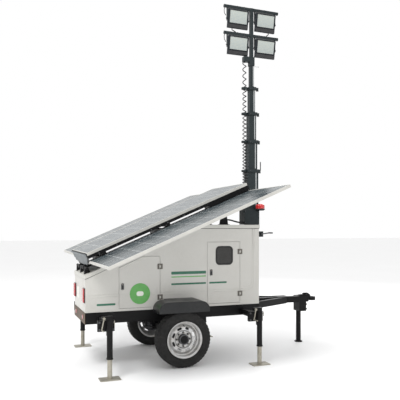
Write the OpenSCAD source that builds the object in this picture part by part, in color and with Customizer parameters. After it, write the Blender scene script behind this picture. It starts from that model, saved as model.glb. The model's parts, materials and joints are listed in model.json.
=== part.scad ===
// Solar lighting tower trailer.
// X points forward to the tow eye, Y to the left, Z up. The origin lies on the ground below
// the middle of the trailer's overall length. Lengths along X in the values below are measured
// from the axle unless a comment says otherwise.

/* [Cabinet] */
// Width over the cabinet's side walls
cab_w = 722; // [640:2:880]
// Distance from the axle back to the rear wall
cab_rear = 982; // [940:1:1180]
// Distance from the axle forward to the front wall
cab_front = 1033; // [1000:1:1240]
// Height of the cabinet's underside above the ground
cab_floor_z = 588; // [560:1:640]
// Height of the flat part of the roof above the ground
cab_roof_z = 1507; // [1400:1:1810]
// Thickness of the cabinet's sheet walls
cab_wall = 3; // [2:0.5:6]
// Depth of the turned-down lip round the roof cover
roof_lip = 40; // [25:1:55]
// How far the roof cover stands out past the walls
roof_overhang = 6; // [4:1:12]
// Distance from the axle forward to the knee between the sloping and the flat roof
roof_knee = 220; // [150:1:300]
// Slope of the rear roof in degrees
roof_slope = 23.7; // [18:0.1:26]

/* [Doors] */
// Thickness of each door pan
door_t = 22; // [16:1:30]
// Gap between a door and its opening
door_gap = 3; // [2:0.5:5]
// Length of the rear doors along the trailer
rear_door_len = 451; // [380:1:500]
// Distance from the axle back to the rear doors' hinged edge
rear_door_edge = 175; // [150:1:220]
// Height of the rear doors' top edge above the cabinet's underside
rear_door_top = 575; // [480:1:600]
// Length of the front doors along the trailer
front_door_len = 403; // [350:1:450]
// Distance from the axle forward to the front doors' hinged edge
front_door_edge = 786; // [770:1:840]
// Height of the front doors' top edge above the cabinet's underside
front_door_top = 722; // [600:1:760]
// Height of every door's bottom edge above the cabinet's underside
door_bottom = 28; // [24:1:40]
// Side of the front doors' square window
window_size = 192; // [150:1:240]
// Side of the square door hinges
hinge_size = 58; // [44:1:66]
// Radius of the door hinge pins
hinge_pin_r = 4; // [3:0.5:5]

/* [Chassis] */
// Height of the chassis rails
rail_h = 120; // [100:1:140]
// Width of the chassis rails
rail_w = 50; // [40:1:70]
// Distance from the axle forward to the tip of the tow eye
tow_tip = 2030; // [1980:1:2300]
// Radius of the tow eye's bore
tow_bore_r = 28; // [20:1:34]
// Outer radius of the tow eye's ring
tow_eye_r = 55; // [48:1:64]
// Thickness of the tow eye's ring
tow_eye_t = 44; // [30:1:50]
// Height of the tow eye's middle above the ground
tow_z = 564; // [558:1:576]
// Height of the drawbar's tubes
drawbar_h = 76; // [60:1:90]

/* [Wheels] */
// Outer radius of the tyres
tyre_r = 297; // [280:1:310]
// Width of the tyres
tyre_w = 160; // [145:1:165]
// Radius of the wheel rims at their flanges
rim_r = 194; // [180:1:205]
// Distance from the trailer's centre plane to the middle of each tyre
wheel_y = 600; // [590:1:640]
// Radius of the axle's spindles
spindle_r = 20; // [16:1:24]
// Height of the fenders' flat top above the ground
fender_z = 697; // [680:1:760]
// Half of the fenders' length
fender_half = 280; // [260:1:300]
// Depth of the fenders' outer skirt
fender_skirt = 115; // [90:1:125]

/* [Outriggers] */
// Distance from the axle back to the rear outriggers
rear_jack = 820; // [780:1:860]
// Distance from the axle forward to the front outriggers
front_jack = 809; // [780:1:860]
// Distance from the centre plane to each outrigger jack when pulled out
jack_y = 806; // [780:1:860]
// Outer radius of the jacks' outer tubes
jack_r = 29; // [26:0.5:34]
// Wall of the jacks' outer tubes
jack_wall = 5; // [3:0.5:7]
// Height of the jacks' heads above the ground
jack_top = 614; // [600:1:616]
// Height of the lower end of the jacks' outer tubes
jack_tube_z = 195; // [180:1:220]
// Side of the square outrigger arms
arm_size = 60; // [50:1:64]
// Length of the cranks on the jacks
crank_len = 110; // [90:1:130]
// Length of the rectangular foot plates
foot_len = 200; // [160:1:240]
// Distance from the axle forward to the drawbar prop
prop_x = 1832; // [1760:1:1860]
// Radius of the drawbar prop's leg
prop_r = 31; // [26:0.5:34]

/* [Solar panels] */
// Length of each solar panel
panel_len = 1956; // [1640:1:2350]
// Width of each solar panel
panel_w = 992; // [830:1:1190]
// Thickness of each solar panel's frame
panel_t = 30; // [25:1:35]
// Tilt of the panel rack in degrees
panel_tilt = 23.1; // [20:0.1:25]
// Distance from the axle back to the rack's hinge bar
hinge_back = 955; // [930:1:960]
// Height of the hinge bar above the ground
hinge_z = 1046; // [1035:1:1060]
// Radius of the rack's hinge bar
hinge_bar_r = 15; // [12:0.5:18]
// Distance from the centre plane to the inner edge of each pulled-out side panel
side_inner = 398; // [380:1:420]
// Height of the lateral guide strips between the panels
guide_t = 14; // [10:1:18]

/* [Mast] */
// Distance from the axle forward to the mast's axis
mast_x = 1114; // [1104:1:1330]
// Outer side of the lowest mast section
mast_size = 130; // [120:1:135]
// Step in outer side from one mast section to the next
mast_step = 20; // [18:1:22]
// Wall of the mast sections
mast_wall = 4; // [3:0.5:5]
// Length of each sliding mast section
section_len = 1600; // [1500:1:1650]
// Height of the top of the fixed mast section above the ground
mast_top_z = 2190; // [2100:1:2300]
// How far each section stands out of the one below it
mast_out = [359, 344, 313, 364];
// Height of the mast collars
collar_h = 36; // [30:1:45]
// Radius of the coiled cable's outside
coil_r = 26; // [20:0.5:26]
// Length of the lamp head's crossbars
bar_len = 716; // [660:1:800]
// Side of the crossbars' square tube
bar_size = 30; // [24:1:36]
// Height of the lower crossbar above the top of the highest section
low_bar_up = 274; // [270:1:300]
// Distance between the two crossbars
bar_gap = 322; // [290:1:380]
// Width of each floodlight
lamp_w = 276; // [240:1:280]
// Height of each floodlight
lamp_h = 223; // [180:1:230]
// Depth of each floodlight
lamp_d = 52; // [40:1:60]
// Downward tilt of the floodlights in degrees
lamp_tilt = 10; // [0:1:20]

/* [Hidden] */
$fn = 48;
// Clearance between pieces that slide on flat faces, and radial clearance of a turning fit
slide_gap = 0.3;
turn_gap = 0.05;
// Amount by which a cutting shape runs past the face that it cuts
over = 1;

// Cabinet
cab_half = cab_w / 2;
tail_lamp_t = 22;
tail_lamp_size = [100, 155];
tail_lamp_z = 688;
roof_t = 3;
axle_x = (cab_rear + tail_lamp_t - tow_tip) / 2;
function roof_z(x) = cab_roof_z - max(0, roof_knee - x) * tan(roof_slope);

// Doors: hinge barrels stand just outside the wall, in the middle of the gap
barrel_r = hinge_pin_r + 3;
barrel_out = barrel_r + slide_gap;
leaf_t = 3;
door_low_z = cab_floor_z + door_bottom;
door_margin = 48;
door_skin = 2;
window_r = 36;
window_t = 5;
window_z = cab_floor_z + front_door_top - 153;
window_x = front_door_edge - 195;
hinge_end_gap = 82;

// Chassis
rail_z = cab_floor_z - rail_h;
rail_inner = cab_half - rail_w;
rail_wall = 5;
cross_xs = [-620, 0, 560];
axle_side = 60;
axle_end = 520;
drawbar_z = tow_z + drawbar_h / 2;
arm_w = 50;
arm_start = [cab_front - 60, rail_inner + rail_w / 2 - 5];
arm_end = [1560, 52];
centre_half = 35;
drawbar_end_gap = 2 * tow_eye_r + 4;
tow_neck_end = tow_eye_r + tow_bore_r + 1;
tow_plate_t = 14;
tow_rib_h = 22;
mast_plate_t = 12;
mast_foot_z = drawbar_z + mast_plate_t;

// Wheels
hub_cap_r = 54;

// Outriggers
arm_z = 515;
sleeve_wall = 5;
sleeve_size = arm_size + 2 * slide_gap + 2 * sleeve_wall;
arm_engage = 110;
bracket_size = [165, 40, 106];
bracket_x = -28;
bracket_y = jack_y - jack_r - bracket_size[1];
leg_r = jack_r - jack_wall - slide_gap;
leg_inner_top = 420;
foot_t = 10;
foot_w = 130;
crank_z = jack_top - 16;
crank_x = -62;
gearbox_half = 15;
crank_pin_r = 6;
crank_boss_r = 13;
crank_boss_t = 14;
crank_y = jack_y + jack_r;
crank_rod_r = 6;
crank_angle = -102;
clamp_size = [100, 2 * prop_r + 16, 118];
prop_y = centre_half + clamp_size[1] / 2;

// Solar panel stack, measured along the rack and square to it from the hinge bar's axis
rail_n = -12;
underframe_h = 20;
beam_h = 62;
stack_s = 30;
right_n = rail_n + beam_h;
left_n = right_n + panel_t + guide_t + 2 * slide_gap;
centre_n = left_n + panel_t + guide_t + 2 * slide_gap;
centre_top_n = centre_n + panel_t;
side_rail_w = 40;
near_rail_h = 32;
near_rail_deep = 520;
under_y = 150;
end_plate_t = 6;
guide_w = 40;
guide_ss = [180, 930, 1700];
knuckle_r = hinge_bar_r + turn_gap + 8;
knuckle_w = 60;
knuckle_y = 130;
foot_s = guide_ss[2] + guide_w / 2;
foot_y = 250;
rest_gap = slide_gap;

// Mast
collar_wall = 12;
mast_arm = 36;
coil_x = mast_size / 2 + coil_r + 2;
ring_r = coil_r + 8;
function section_size(i) = mast_size - (i - 1) * mast_step;
function section_top(i) = i == 1 ? mast_top_z : section_top(i - 1) + mast_out[i - 2];
housing_size = [200, 150, 208];
housing_z = cab_roof_z + 5;
housing_x = mast_x + 73 - housing_size[0];
cable_low_z = housing_z + housing_size[2];
beacon_r = 58;
beacon_h = 74;
beacon_z = 1690;
beacon_x = mast_x + 52;
beacon_y = -housing_size[1] / 2 - beacon_r - 4;
winch_z = 1395;
winch_x = mast_x + mast_size / 2 + 37;
winch_drum_r = 22;
winch_flange_r = 29;
winch_crank_len = 105;

// Lamp head
head_z = section_top(5);
post_size = 40;
junction_size = [80, 60, 60];
junction_z = head_z - 54;
gland_h = 12;
cable_top_z = junction_z - gland_h;
sleeve_h = 100;
low_bar_z = head_z + low_bar_up;
high_bar_z = low_bar_z + bar_gap;
lamp_x = 186;
lamp_drop = bar_size / 2 + lamp_h / 2 + 18;
lamp_y = 0;
yoke_t = 4;
yoke_w = 36;
lamp_pin_r = 5;

// ---- helpers ----

module from_axle() { translate([axle_x, 0, 0]) children(); }
module both_sides() { for (s = [-1, 1]) scale([1, s, 1]) children(); }
module mirrored(side) { mirror([0, side < 0 ? 1 : 0, 0]) children(); }
// Extrudes an outline drawn in X and Z along +Y from y0 to y0 + w
module along_y(y0, w) {
  translate([0, y0 + w, 0]) rotate([90, 0, 0]) linear_extrude(w) children();
}
module rod_y(r, y0, len) { translate([0, y0, 0]) rotate([-90, 0, 0]) cylinder(r = r, h = len); }
module rod_x(r, x0, len) { translate([x0, 0, 0]) rotate([0, 90, 0]) cylinder(r = r, h = len); }
module box(x, y, z) {
  translate([x[0], y[0], z[0]]) cube([x[1] - x[0], y[1] - y[0], z[1] - z[0]]);
}
function arc(c, r, a0, a1, n = 8) =
  [for (i = [0:n]) c + r * [cos(a0 + (a1 - a0) * i / n), sin(a0 + (a1 - a0) * i / n)]];
function rounded(w, h, r) = concat(
  arc([w / 2 - r, h / 2 - r], r, 0, 90), arc([r - w / 2, h / 2 - r], r, 90, 180),
  arc([r - w / 2, r - h / 2], r, 180, 270), arc([w / 2 - r, r - h / 2], r, 270, 360));
module square_tube(size, wall, len) {
  difference() {
    translate([-size / 2, -size / 2, 0]) cube([size, size, len]);
    translate([wall - size / 2, wall - size / 2, -over])
      cube([size - 2 * wall, size - 2 * wall, len + 2 * over]);
  }
}
// Frame of the panel rack: x along the panels, z square to them, origin on the hinge bar
module in_rack() {
  from_axle() translate([-hinge_back, 0, hinge_z]) rotate([0, -panel_tilt, 0]) children();
}

// ---- chassis ----

module cross_member(x, size_x, z0) {
  reach = cab_half - rail_wall;
  difference() {
    box([x - size_x / 2, x + size_x / 2], [-reach, reach], [z0, cab_floor_z]);
    box([x - size_x / 2 + rail_wall, x + size_x / 2 - rail_wall], [-reach - over, reach + over],
        [z0 + rail_wall, cab_floor_z - rail_wall]);
  }
}
module chassis_frame() {
  color("#1c1c1e") from_axle() difference() {
    union() {
      both_sides() difference() {
        box([-cab_rear, cab_front], [rail_inner, cab_half], [rail_z, cab_floor_z]);
        box([-cab_rear - over, cab_front + over], [rail_inner - over, cab_half - rail_wall],
            [rail_z + rail_wall, cab_floor_z - rail_wall]);
      }
      cross_member(rail_w / 2 - cab_rear, rail_w, rail_z);
      cross_member(cab_front - rail_w / 2, rail_w, rail_z);
      for (x = cross_xs) cross_member(x, rail_w, rail_z + 50);
    }
    for (x = [-rear_jack, front_jack])
      box([x - sleeve_size / 2, x + sleeve_size / 2], [-cab_half - over, cab_half + over],
          [arm_z - sleeve_size / 2, arm_z + sleeve_size / 2]);
  }
}
module drawbar_arm(inset) {
  run = arm_end - arm_start;
  translate([arm_start[0], arm_start[1], drawbar_z - drawbar_h])
    rotate([0, 0, atan2(run[1], run[0])])
      translate([0, inset - arm_w / 2, inset])
        cube([norm(run), arm_w - 2 * inset, drawbar_h - 2 * inset]);
}
module drawbar_frame() {
  low = drawbar_z - drawbar_h;
  end_x = tow_tip - drawbar_end_gap;
  color("#18181a") from_axle() difference() {
    union() {
      both_sides() drawbar_arm(0);
      box([cab_front, end_x], [-centre_half, centre_half], [low, drawbar_z]);
      box([arm_end[0] - 110, arm_end[0] + 60], [-85, 85], [drawbar_z, drawbar_z + 6]);
      box([mast_x - 78, mast_x + 110], [-130, 130], [drawbar_z, mast_foot_z]);
    }
    both_sides() drawbar_arm(rail_wall);
    box([cab_front + rail_wall, end_x + over], [rail_wall - centre_half, centre_half - rail_wall],
        [low + rail_wall, drawbar_z - rail_wall]);
    box([0, cab_front], [-cab_half, cab_half], [rail_z, cab_floor_z + 40]);
  }
}
module tow_eye() {
  eye_x = tow_tip - tow_eye_r;
  plate_top = drawbar_z + tow_plate_t;
  color("#1a1a1c") from_axle() {
    difference() {
      union() {
        translate([eye_x, 0, tow_z - tow_eye_t / 2]) cylinder(r = tow_eye_r, h = tow_eye_t);
        box([tow_tip - drawbar_end_gap, eye_x], [-30, 30],
            [tow_z - tow_eye_t / 2, tow_z + tow_eye_t / 2]);
        box([tow_tip - drawbar_end_gap, tow_tip - tow_neck_end], [-30, 30], [tow_z, plate_top]);
        box([tow_tip - 230, tow_tip - tow_neck_end], [-30, 30], [drawbar_z, plate_top]);
        along_y(-14, 28) polygon([[tow_tip - 195, plate_top],
            [tow_tip - 165, plate_top + tow_rib_h], [tow_tip - tow_neck_end - 30, plate_top + tow_rib_h],
            [tow_tip - tow_neck_end, plate_top]]);
      }
      translate([eye_x, 0, 0]) cylinder(r = tow_bore_r, h = tow_z + tow_eye_t);
    }
  }
}
module axle_beam() {
  color("#1c1c1e") from_axle() translate([0, 0, tyre_r]) {
    box([-axle_side / 2, axle_side / 2], [-axle_end, axle_end], [-axle_side / 2, axle_side / 2]);
    both_sides() rod_y(spindle_r, axle_end - over, wheel_y + 54 - axle_end);
  }
}
module spring_leaf(radius, t, half, w) {
  intersection() {
    difference() {
      rod_y(radius + t, -w / 2, w);
      rod_y(radius, -w / 2 - over, w + 2 * over);
    }
    box([-half, half], [-w, w], [-radius - t - over, -radius * 0.6]);
  }
}
module leaf_springs() {
  radius = 800;
  leaf = 8;
  base = tyre_r + axle_side / 2 + 4 * leaf;
  half = 330;
  eye_z = base + radius - sqrt(radius * radius - half * half);
  spring_y = cab_half - rail_w / 2;
  color("#202022") from_axle() both_sides() translate([0, spring_y, 0]) {
    for (i = [0:3]) translate([0, 0, base + radius])
      spring_leaf(radius + i * leaf, leaf, half - 70 * i, 44);
    for (x = [-half, half]) translate([x, 0, 0]) {
      translate([0, 0, eye_z]) rod_y(13, -22, 44);
      both_sides() box([-14, 14], [22, 27], [eye_z - 16, rail_z]);
    }
    for (x = [-44, 44]) difference() {
      box([x - 7, x + 7], [-34, 34], [tyre_r - axle_side / 2 - 14, base + 14]);
      box([x - 8, x + 8], [-24, 24], [tyre_r - axle_side / 2, base + 2]);
    }
  }
}
module fender_outline(inset) {
  r = 90 - inset;
  h = fender_half - inset;
  polygon(concat([[h, fender_z - 200]], arc([h - r, fender_z - inset - r], r, 0, 90),
      arc([r - h, fender_z - inset - r], r, 90, 180), [[-h, fender_z - fender_skirt]]));
}
module fenders() {
  sheet = 3;
  y_out = wheel_y + tyre_w / 2 + 4 + sheet;
  notch_x = rear_door_edge - 35;
  color("#1e1e20") from_axle() both_sides() difference() {
    union() {
      difference() {
        along_y(cab_half, y_out - cab_half) fender_outline(0);
        along_y(cab_half - over, y_out - cab_half + 2 * over) fender_outline(sheet);
        box([-fender_half - over, fender_half + over], [0, y_out + over],
            [0, fender_z - fender_skirt]);
      }
      along_y(y_out - sheet, sheet) intersection() {
        fender_outline(0);
        translate([-fender_half, fender_z - fender_skirt])
          square([2 * fender_half, fender_skirt]);
      }
    }
    box([-fender_half - over, -notch_x], [cab_half - over, cab_half + 88],
        [fender_z - fender_skirt - over, fender_z + over]);
  }
}

// ---- cabinet ----

module cabinet_side_outline() {
  polygon([[-cab_rear, cab_floor_z], [cab_front, cab_floor_z], [cab_front, cab_roof_z - roof_t],
      [roof_knee, cab_roof_z - roof_t], [-cab_rear, roof_z(-cab_rear) - roof_t]]);
}
module rear_door_outline() {
  x0 = -rear_door_edge - rear_door_len;
  top = cab_floor_z + rear_door_top;
  low_top = roof_z(x0) - roof_lip - door_margin;
  bend = min(-rear_door_edge - 20, x0 + (top - low_top) / tan(roof_slope));
  polygon([[x0, door_low_z], [-rear_door_edge, door_low_z], [-rear_door_edge, top],
      [bend, top], [x0, min(top, low_top)]]);
}
module front_door_outline() {
  translate([front_door_edge - front_door_len, door_low_z])
    square([front_door_len, front_door_top - door_bottom]);
}
module window_outline() {
  translate([window_x, window_z]) polygon(rounded(window_size, window_size, window_r));
}
module cabinet_shell() {
  color("#e4e4dc") from_axle() difference() {
    along_y(-cab_half, cab_w) cabinet_side_outline();
    intersection() {
      along_y(cab_wall - cab_half, cab_w - 2 * cab_wall) translate([0, cab_wall])
        cabinet_side_outline();
      box([cab_wall - cab_rear, cab_front - cab_wall], [-cab_half, cab_half],
          [cab_floor_z, cab_roof_z]);
    }
    box([cab_wall - cab_rear, cab_front - cab_wall], [cab_wall - cab_half, cab_half - cab_wall],
        [roof_z(-cab_rear) - roof_t - cab_wall, cab_roof_z]);
    both_sides() along_y(cab_half - cab_wall - over, cab_wall + 2 * over) {
      offset(delta = door_gap) rear_door_outline();
      offset(delta = door_gap) front_door_outline();
    }
  }
}
module roof_profile(x0, x1, top_drop, depth) {
  polygon([[x0, roof_z(x0) - top_drop], [roof_knee, cab_roof_z - top_drop],
      [x1, cab_roof_z - top_drop], [x1, cab_roof_z - depth], [roof_knee, cab_roof_z - depth],
      [x0, roof_z(x0) - depth]]);
}
module cabinet_roof() {
  edge = cab_half + roof_overhang;
  fit = 0.2;
  color("#dcdcd2") from_axle() difference() {
    along_y(-edge, 2 * edge)
      roof_profile(-cab_rear - roof_overhang, cab_front + roof_overhang, 0, roof_lip);
    along_y(-cab_half - fit, cab_w + 2 * fit)
      roof_profile(-cab_rear - fit, cab_front + fit, roof_t, roof_lip + 60);
  }
}
module fixed_hinge(x, z) {
  knuckle = hinge_size * 0.28;
  translate([x, 0, z]) {
    box([9, hinge_size / 2], [cab_half, cab_half + leaf_t], [-hinge_size / 2, hinge_size / 2]);
    translate([0, cab_half + barrel_out, -hinge_size / 2])
      cylinder(r = hinge_pin_r, h = hinge_size);
    for (low = [-hinge_size / 2, hinge_size / 2 - knuckle]) translate([0, 0, low]) {
      translate([0, cab_half + barrel_out, 0]) cylinder(r = barrel_r, h = knuckle);
      box([0, 10], [cab_half + slide_gap, cab_half + barrel_out], [0, knuckle]);
      box([8, 12], [cab_half, cab_half + leaf_t], [0, knuckle]);
    }
  }
}
module moving_hinge(x, z) {
  knuckle = hinge_size * 0.28 + 0.4;
  translate([x, 0, z]) {
    box([-hinge_size / 2, -9], [cab_half, cab_half + leaf_t],
        [-hinge_size / 2, hinge_size / 2]);
    difference() {
      union() {
        translate([0, cab_half + barrel_out, knuckle - hinge_size / 2])
          cylinder(r = barrel_r, h = hinge_size - 2 * knuckle);
        box([-10, 0], [cab_half + slide_gap, cab_half + barrel_out],
            [knuckle - hinge_size / 2, hinge_size / 2 - knuckle]);
      }
      translate([0, cab_half + barrel_out, -hinge_size / 2])
        cylinder(r = hinge_pin_r + turn_gap, h = hinge_size);
    }
  }
}
function hinge_zs(top) =
  [door_low_z + hinge_end_gap + 20, cab_floor_z + top - hinge_end_gap - hinge_size / 2];
module door_hinges() {
  color("#3a3a3c") from_axle() both_sides() {
    for (z = hinge_zs(rear_door_top)) fixed_hinge(door_gap / 2 - rear_door_edge, z);
    for (z = hinge_zs(front_door_top)) fixed_hinge(door_gap / 2 + front_door_edge, z);
  }
}
module latch(x, z) {
  box([x - 14, x + 14], [cab_half, cab_half + 4], [z - 38, z + 38]);
  box([x - 6, x + 6], [cab_half + 4, cab_half + 14], [z - 30, z + 16]);
}
module door_pan() {
  along_y(cab_half - door_skin, door_skin) children();
  along_y(cab_half - door_t, door_t) difference() {
    children();
    offset(delta = -2 * door_skin) children();
  }
}
module rear_door(side) {
  color("#e6e6de") from_axle() mirrored(side) {
    door_pan() rear_door_outline();
    for (z = hinge_zs(rear_door_top)) moving_hinge(door_gap / 2 - rear_door_edge, z);
    latch(36 - rear_door_edge - rear_door_len, door_low_z + 232);
  }
}
module front_door(side) {
  color("#e6e6de") from_axle() mirrored(side) {
    difference() {
      door_pan() front_door_outline();
      along_y(cab_half - door_t - over, door_t + 2 * over) window_outline();
    }
    for (z = hinge_zs(front_door_top)) moving_hinge(door_gap / 2 + front_door_edge, z);
    latch(46 + front_door_edge - front_door_len, door_low_z + 352);
  }
}
module window(side) {
  color("#2a2c2e") from_axle() mirrored(side) {
    along_y(cab_half - door_skin, window_t) offset(delta = -slide_gap) window_outline();
    along_y(cab_half, 4) difference() {
      offset(delta = 12) window_outline();
      offset(delta = -8) window_outline();
    }
  }
}
module tail_lamps() {
  color("#a01818") from_axle() both_sides()
    box([-cab_rear - tail_lamp_t, -cab_rear],
        [cab_half - 8 - tail_lamp_size[0], cab_half - 8],
        [tail_lamp_z, tail_lamp_z + tail_lamp_size[1]]);
}
module battery_bank() {
  cell = [172, 230, 215];
  floor_z = cab_floor_z + cab_wall;
  color("#26282c") from_axle() for (i = [0:1], j = [0:1])
    translate([-590 + i * (cell[0] + 12), -cell[1] - 6 + j * (cell[1] + 12), floor_z]) {
      cube(cell);
      for (x = [30, cell[0] - 30]) translate([x, cell[1] / 2, cell[2]]) cylinder(r = 9, h = 18);
    }
}
module control_box() {
  floor_z = cab_floor_z + cab_wall;
  back_y = -140;
  color("#c9cac8") from_axle() {
    box([420, 760], [back_y, back_y + 4], [floor_z, floor_z + 640]);
    box([430, 750], [back_y - 110, back_y], [floor_z + 330, floor_z + 620]);
    box([470, 710], [back_y - 90, back_y], [floor_z + 60, floor_z + 250]);
    box([420, 760], [back_y + 4, back_y + 60], [floor_z, floor_z + 4]);
  }
}

// ---- wheels ----

module wheel_place(side) {
  from_axle() translate([0, side * wheel_y, tyre_r]) rotate([90, 0, 0])
    mirror([0, 0, side > 0 ? 1 : 0]) children();
}
// Wheel profiles are drawn as radius and outward distance from the tyre's middle plane
module tyre(side) {
  half = tyre_w / 2;
  bead = rim_r - 14;
  color("#1a1a1a") wheel_place(side) rotate_extrude($fn = 96) difference() {
    polygon(concat([[bead, 12 - half]], [[rim_r + 10, 4 - half]],
        arc([tyre_r - 34, 26 - half], 26, -90, -20, 5), [[tyre_r - 2, 40 - half]],
        [[tyre_r, 0]], [[tyre_r - 2, half - 40]], arc([tyre_r - 34, half - 26], 26, 20, 90, 5),
        [[rim_r + 10, half - 4]], [[bead, half - 12]]));
    polygon([[bead - 1, 26 - half], [rim_r + 16, 20 - half], [tyre_r - 26, 28 - half],
        [tyre_r - 16, 0], [tyre_r - 26, half - 28], [rim_r + 16, half - 20],
        [bead - 1, half - 26]]);
  }
}
module rim(side) {
  half = tyre_w / 2;
  seat = rim_r - 14 - slide_gap;
  color("#c8c8cc") wheel_place(side) difference() {
    rotate_extrude($fn = 96) polygon([
        [hub_cap_r + 1, 18], [88, 18], [100, 30], [132, 30], [seat - 22, 14], [seat - 6, 6],
        [seat - 6, 26 - half], [seat - 6, 2 - half], [rim_r - 4, 2 - half],
        [rim_r - 4, 4 - half], [seat, 12 - half], [seat, 27 - half], [seat - 2, 27 - half],
        [seat - 2, half - 27], [seat, half - 27], [seat, half - 12], [rim_r - 4, half - 4],
        [rim_r, half + 2], [rim_r - 6, half + 4], [seat - 6, half - 6], [seat - 8, 22],
        [seat - 20, 18], [134, 36], [98, 36], [86, 24],
        [hub_cap_r + 1, 24]]);
    for (i = [0:7]) rotate([0, 0, i * 45 + 22.5]) translate([118, 0, 0])
      linear_extrude(60) polygon(rounded(26, 54, 12.5));
  }
}
module hub(side) {
  color("#202124") wheel_place(side) {
    difference() {
      union() {
        translate([0, 0, -62]) cylinder(r = 118, h = 54);
        translate([0, 0, -8]) cylinder(r = 84, h = 26);
        translate([0, 0, 18]) cylinder(r = hub_cap_r, h = 44);
      }
      translate([0, 0, -62 - over]) cylinder(r = spindle_r + turn_gap, h = 118 + over);
      translate([0, 0, -62 - over]) cylinder(r = 104, h = 40);
    }
    for (i = [0:7]) rotate([0, 0, i * 45]) translate([hub_cap_r + 18, 0, 24]) {
      cylinder(r = 11, h = 14, $fn = 6);
      cylinder(r = 6, h = 20);
    }
  }
}

// ---- outriggers and prop ----

module outrigger_sleeves() {
  half = sleeve_size / 2;
  color("#1c1c1e") from_axle() for (x = [-rear_jack, front_jack]) difference() {
    box([x - half, x + half], [-cab_half, cab_half], [arm_z - half, arm_z + half]);
    box([x - half + sleeve_wall, x + half - sleeve_wall], [-cab_half - over, cab_half + over],
        [arm_z - half + sleeve_wall, arm_z + half - sleeve_wall]);
  }
}
module jack_place(x, side) {
  from_axle() translate([x, 0, 0]) mirrored(side) children();
}
module jack_tube(x, side) {
  color("#19191b") jack_place(x, side) {
    difference() {
      union() {
        box([-arm_size / 2, arm_size / 2], [cab_half - arm_engage, bracket_y],
            [arm_z - arm_size / 2, arm_z + arm_size / 2]);
        box([bracket_x - bracket_size[0] / 2, bracket_x + bracket_size[0] / 2],
            [bracket_y, bracket_y + bracket_size[1]],
            [arm_z - bracket_size[2] / 2, arm_z + bracket_size[2] / 2]);
        translate([0, jack_y, jack_tube_z]) cylinder(r = jack_r, h = jack_top - jack_tube_z);
        box([-jack_r, jack_r], [jack_y - jack_r, jack_y], [jack_tube_z + 230, jack_top - 10]);
        // gearbox beside the head, with the crank's pin on its outer face
        box([crank_x - gearbox_half, 0], [jack_y - gearbox_half, crank_y],
            [crank_z - gearbox_half, crank_z + gearbox_half]);
        translate([crank_x, 0, crank_z])
          rod_y(crank_pin_r, jack_y, jack_r + crank_boss_t + 6);
      }
      translate([0, jack_y, jack_tube_z - over])
        cylinder(r = jack_r - jack_wall, h = jack_top - 6 - jack_tube_z);
      box([-arm_size / 2 + 5, arm_size / 2 - 5], [cab_half - arm_engage - over, bracket_y],
          [arm_z - arm_size / 2 + 5, arm_z + arm_size / 2 - 5]);
    }
  }
}
module jack_leg(x, side) {
  color("#c4c2b8") jack_place(x, side) translate([0, jack_y, 0]) {
    difference() {
      cylinder(r = leg_r, h = leg_inner_top);
      translate([0, 0, foot_t]) cylinder(r = leg_r - 4, h = leg_inner_top);
    }
    translate([-foot_len / 2, -foot_w / 2, 0]) cube([foot_len, foot_w, foot_t]);
  }
}
module jack_crank(x, side) {
  color("#d0d0cc") jack_place(x, side)
    translate([crank_x, crank_y + slide_gap, crank_z]) {
      difference() {
        union() {
          rod_y(crank_boss_r, 0, crank_boss_t);
          rotate([0, -crank_angle, 0]) translate([0, crank_boss_t / 2, 0])
            rod_x(crank_rod_r, crank_boss_r - 3, crank_len - crank_boss_r + 3);
        }
        rod_y(crank_pin_r + turn_gap, -over, crank_boss_t + 2 * over);
      }
      rotate([0, -crank_angle, 0]) translate([crank_len, 0, 0])
        rod_y(crank_rod_r, crank_boss_t / 2 - crank_rod_r, 84);
    }
}
module prop_clamp() {
  low = drawbar_z - drawbar_h - clamp_size[2];
  y1 = centre_half + clamp_size[1];
  color("#161618") from_axle() translate([prop_x, 0, 0]) difference() {
    union() {
      box([-clamp_size[0] / 2, clamp_size[0] / 2], [centre_half, y1], [low, drawbar_z]);
      box([-clamp_size[0] / 2, clamp_size[0] / 2], [-centre_half, y1],
          [low, drawbar_z - drawbar_h]);
      for (dx = [-50, 50], dz = [28, 88]) translate([dx, 0, low + dz])
        rod_y(9, -centre_half - 10, 20, $fn = 6);
      translate([0, 0, low + 140]) rod_y(8, y1 - 10, 50);
      translate([0, y1 + 40, low + 140]) rod_x(5, -34, 68);
    }
    translate([0, prop_y, low - over]) cylinder(r = prop_r + slide_gap, h = drawbar_z);
  }
}
module prop_leg() {
  color("#161618") from_axle() translate([prop_x, prop_y, 0]) {
    difference() {
      cylinder(r = prop_r, h = drawbar_z - 10);
      translate([0, 0, 12]) cylinder(r = prop_r - 4, h = drawbar_z);
    }
    cylinder(r = 50, h = 12);
  }
}

// ---- panel rack ----

module panel_mounts() {
  lug_y = [-255, 0, 255];
  lug_w = 44;
  color("#19191b") from_axle() {
    for (y = lug_y) along_y(y - lug_w / 2, lug_w) polygon([
        [-hinge_back - 22, roof_z(-hinge_back - 22)], [-hinge_back + 38, roof_z(38 - hinge_back)],
        [-hinge_back + 17, hinge_z + 12], [-hinge_back - 20, hinge_z + 6]]);
    translate([-hinge_back, 0, hinge_z]) rod_y(hinge_bar_r, -cab_half + 30, cab_w - 60);
  }
  rest_x = foot_s * cos(panel_tilt) - hinge_back - rail_n * sin(panel_tilt);
  rest_z = hinge_z + foot_s * sin(panel_tilt) + rail_n * cos(panel_tilt);
  color("#19191b") from_axle() both_sides() {
    box([rest_x - 60, rest_x + 60], [foot_y - 35, foot_y + 35],
        [cab_roof_z, cab_roof_z + 6]);
    along_y(foot_y - 15, 30) polygon([
        [rest_x - 50, cab_roof_z + 6], [rest_x + 50, cab_roof_z + 6],
        [rest_x + 18, rest_z + 18 * tan(panel_tilt) - rest_gap / cos(panel_tilt)],
        [rest_x - 18, rest_z - 18 * tan(panel_tilt) - rest_gap / cos(panel_tilt)]]);
  }
}
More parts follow.
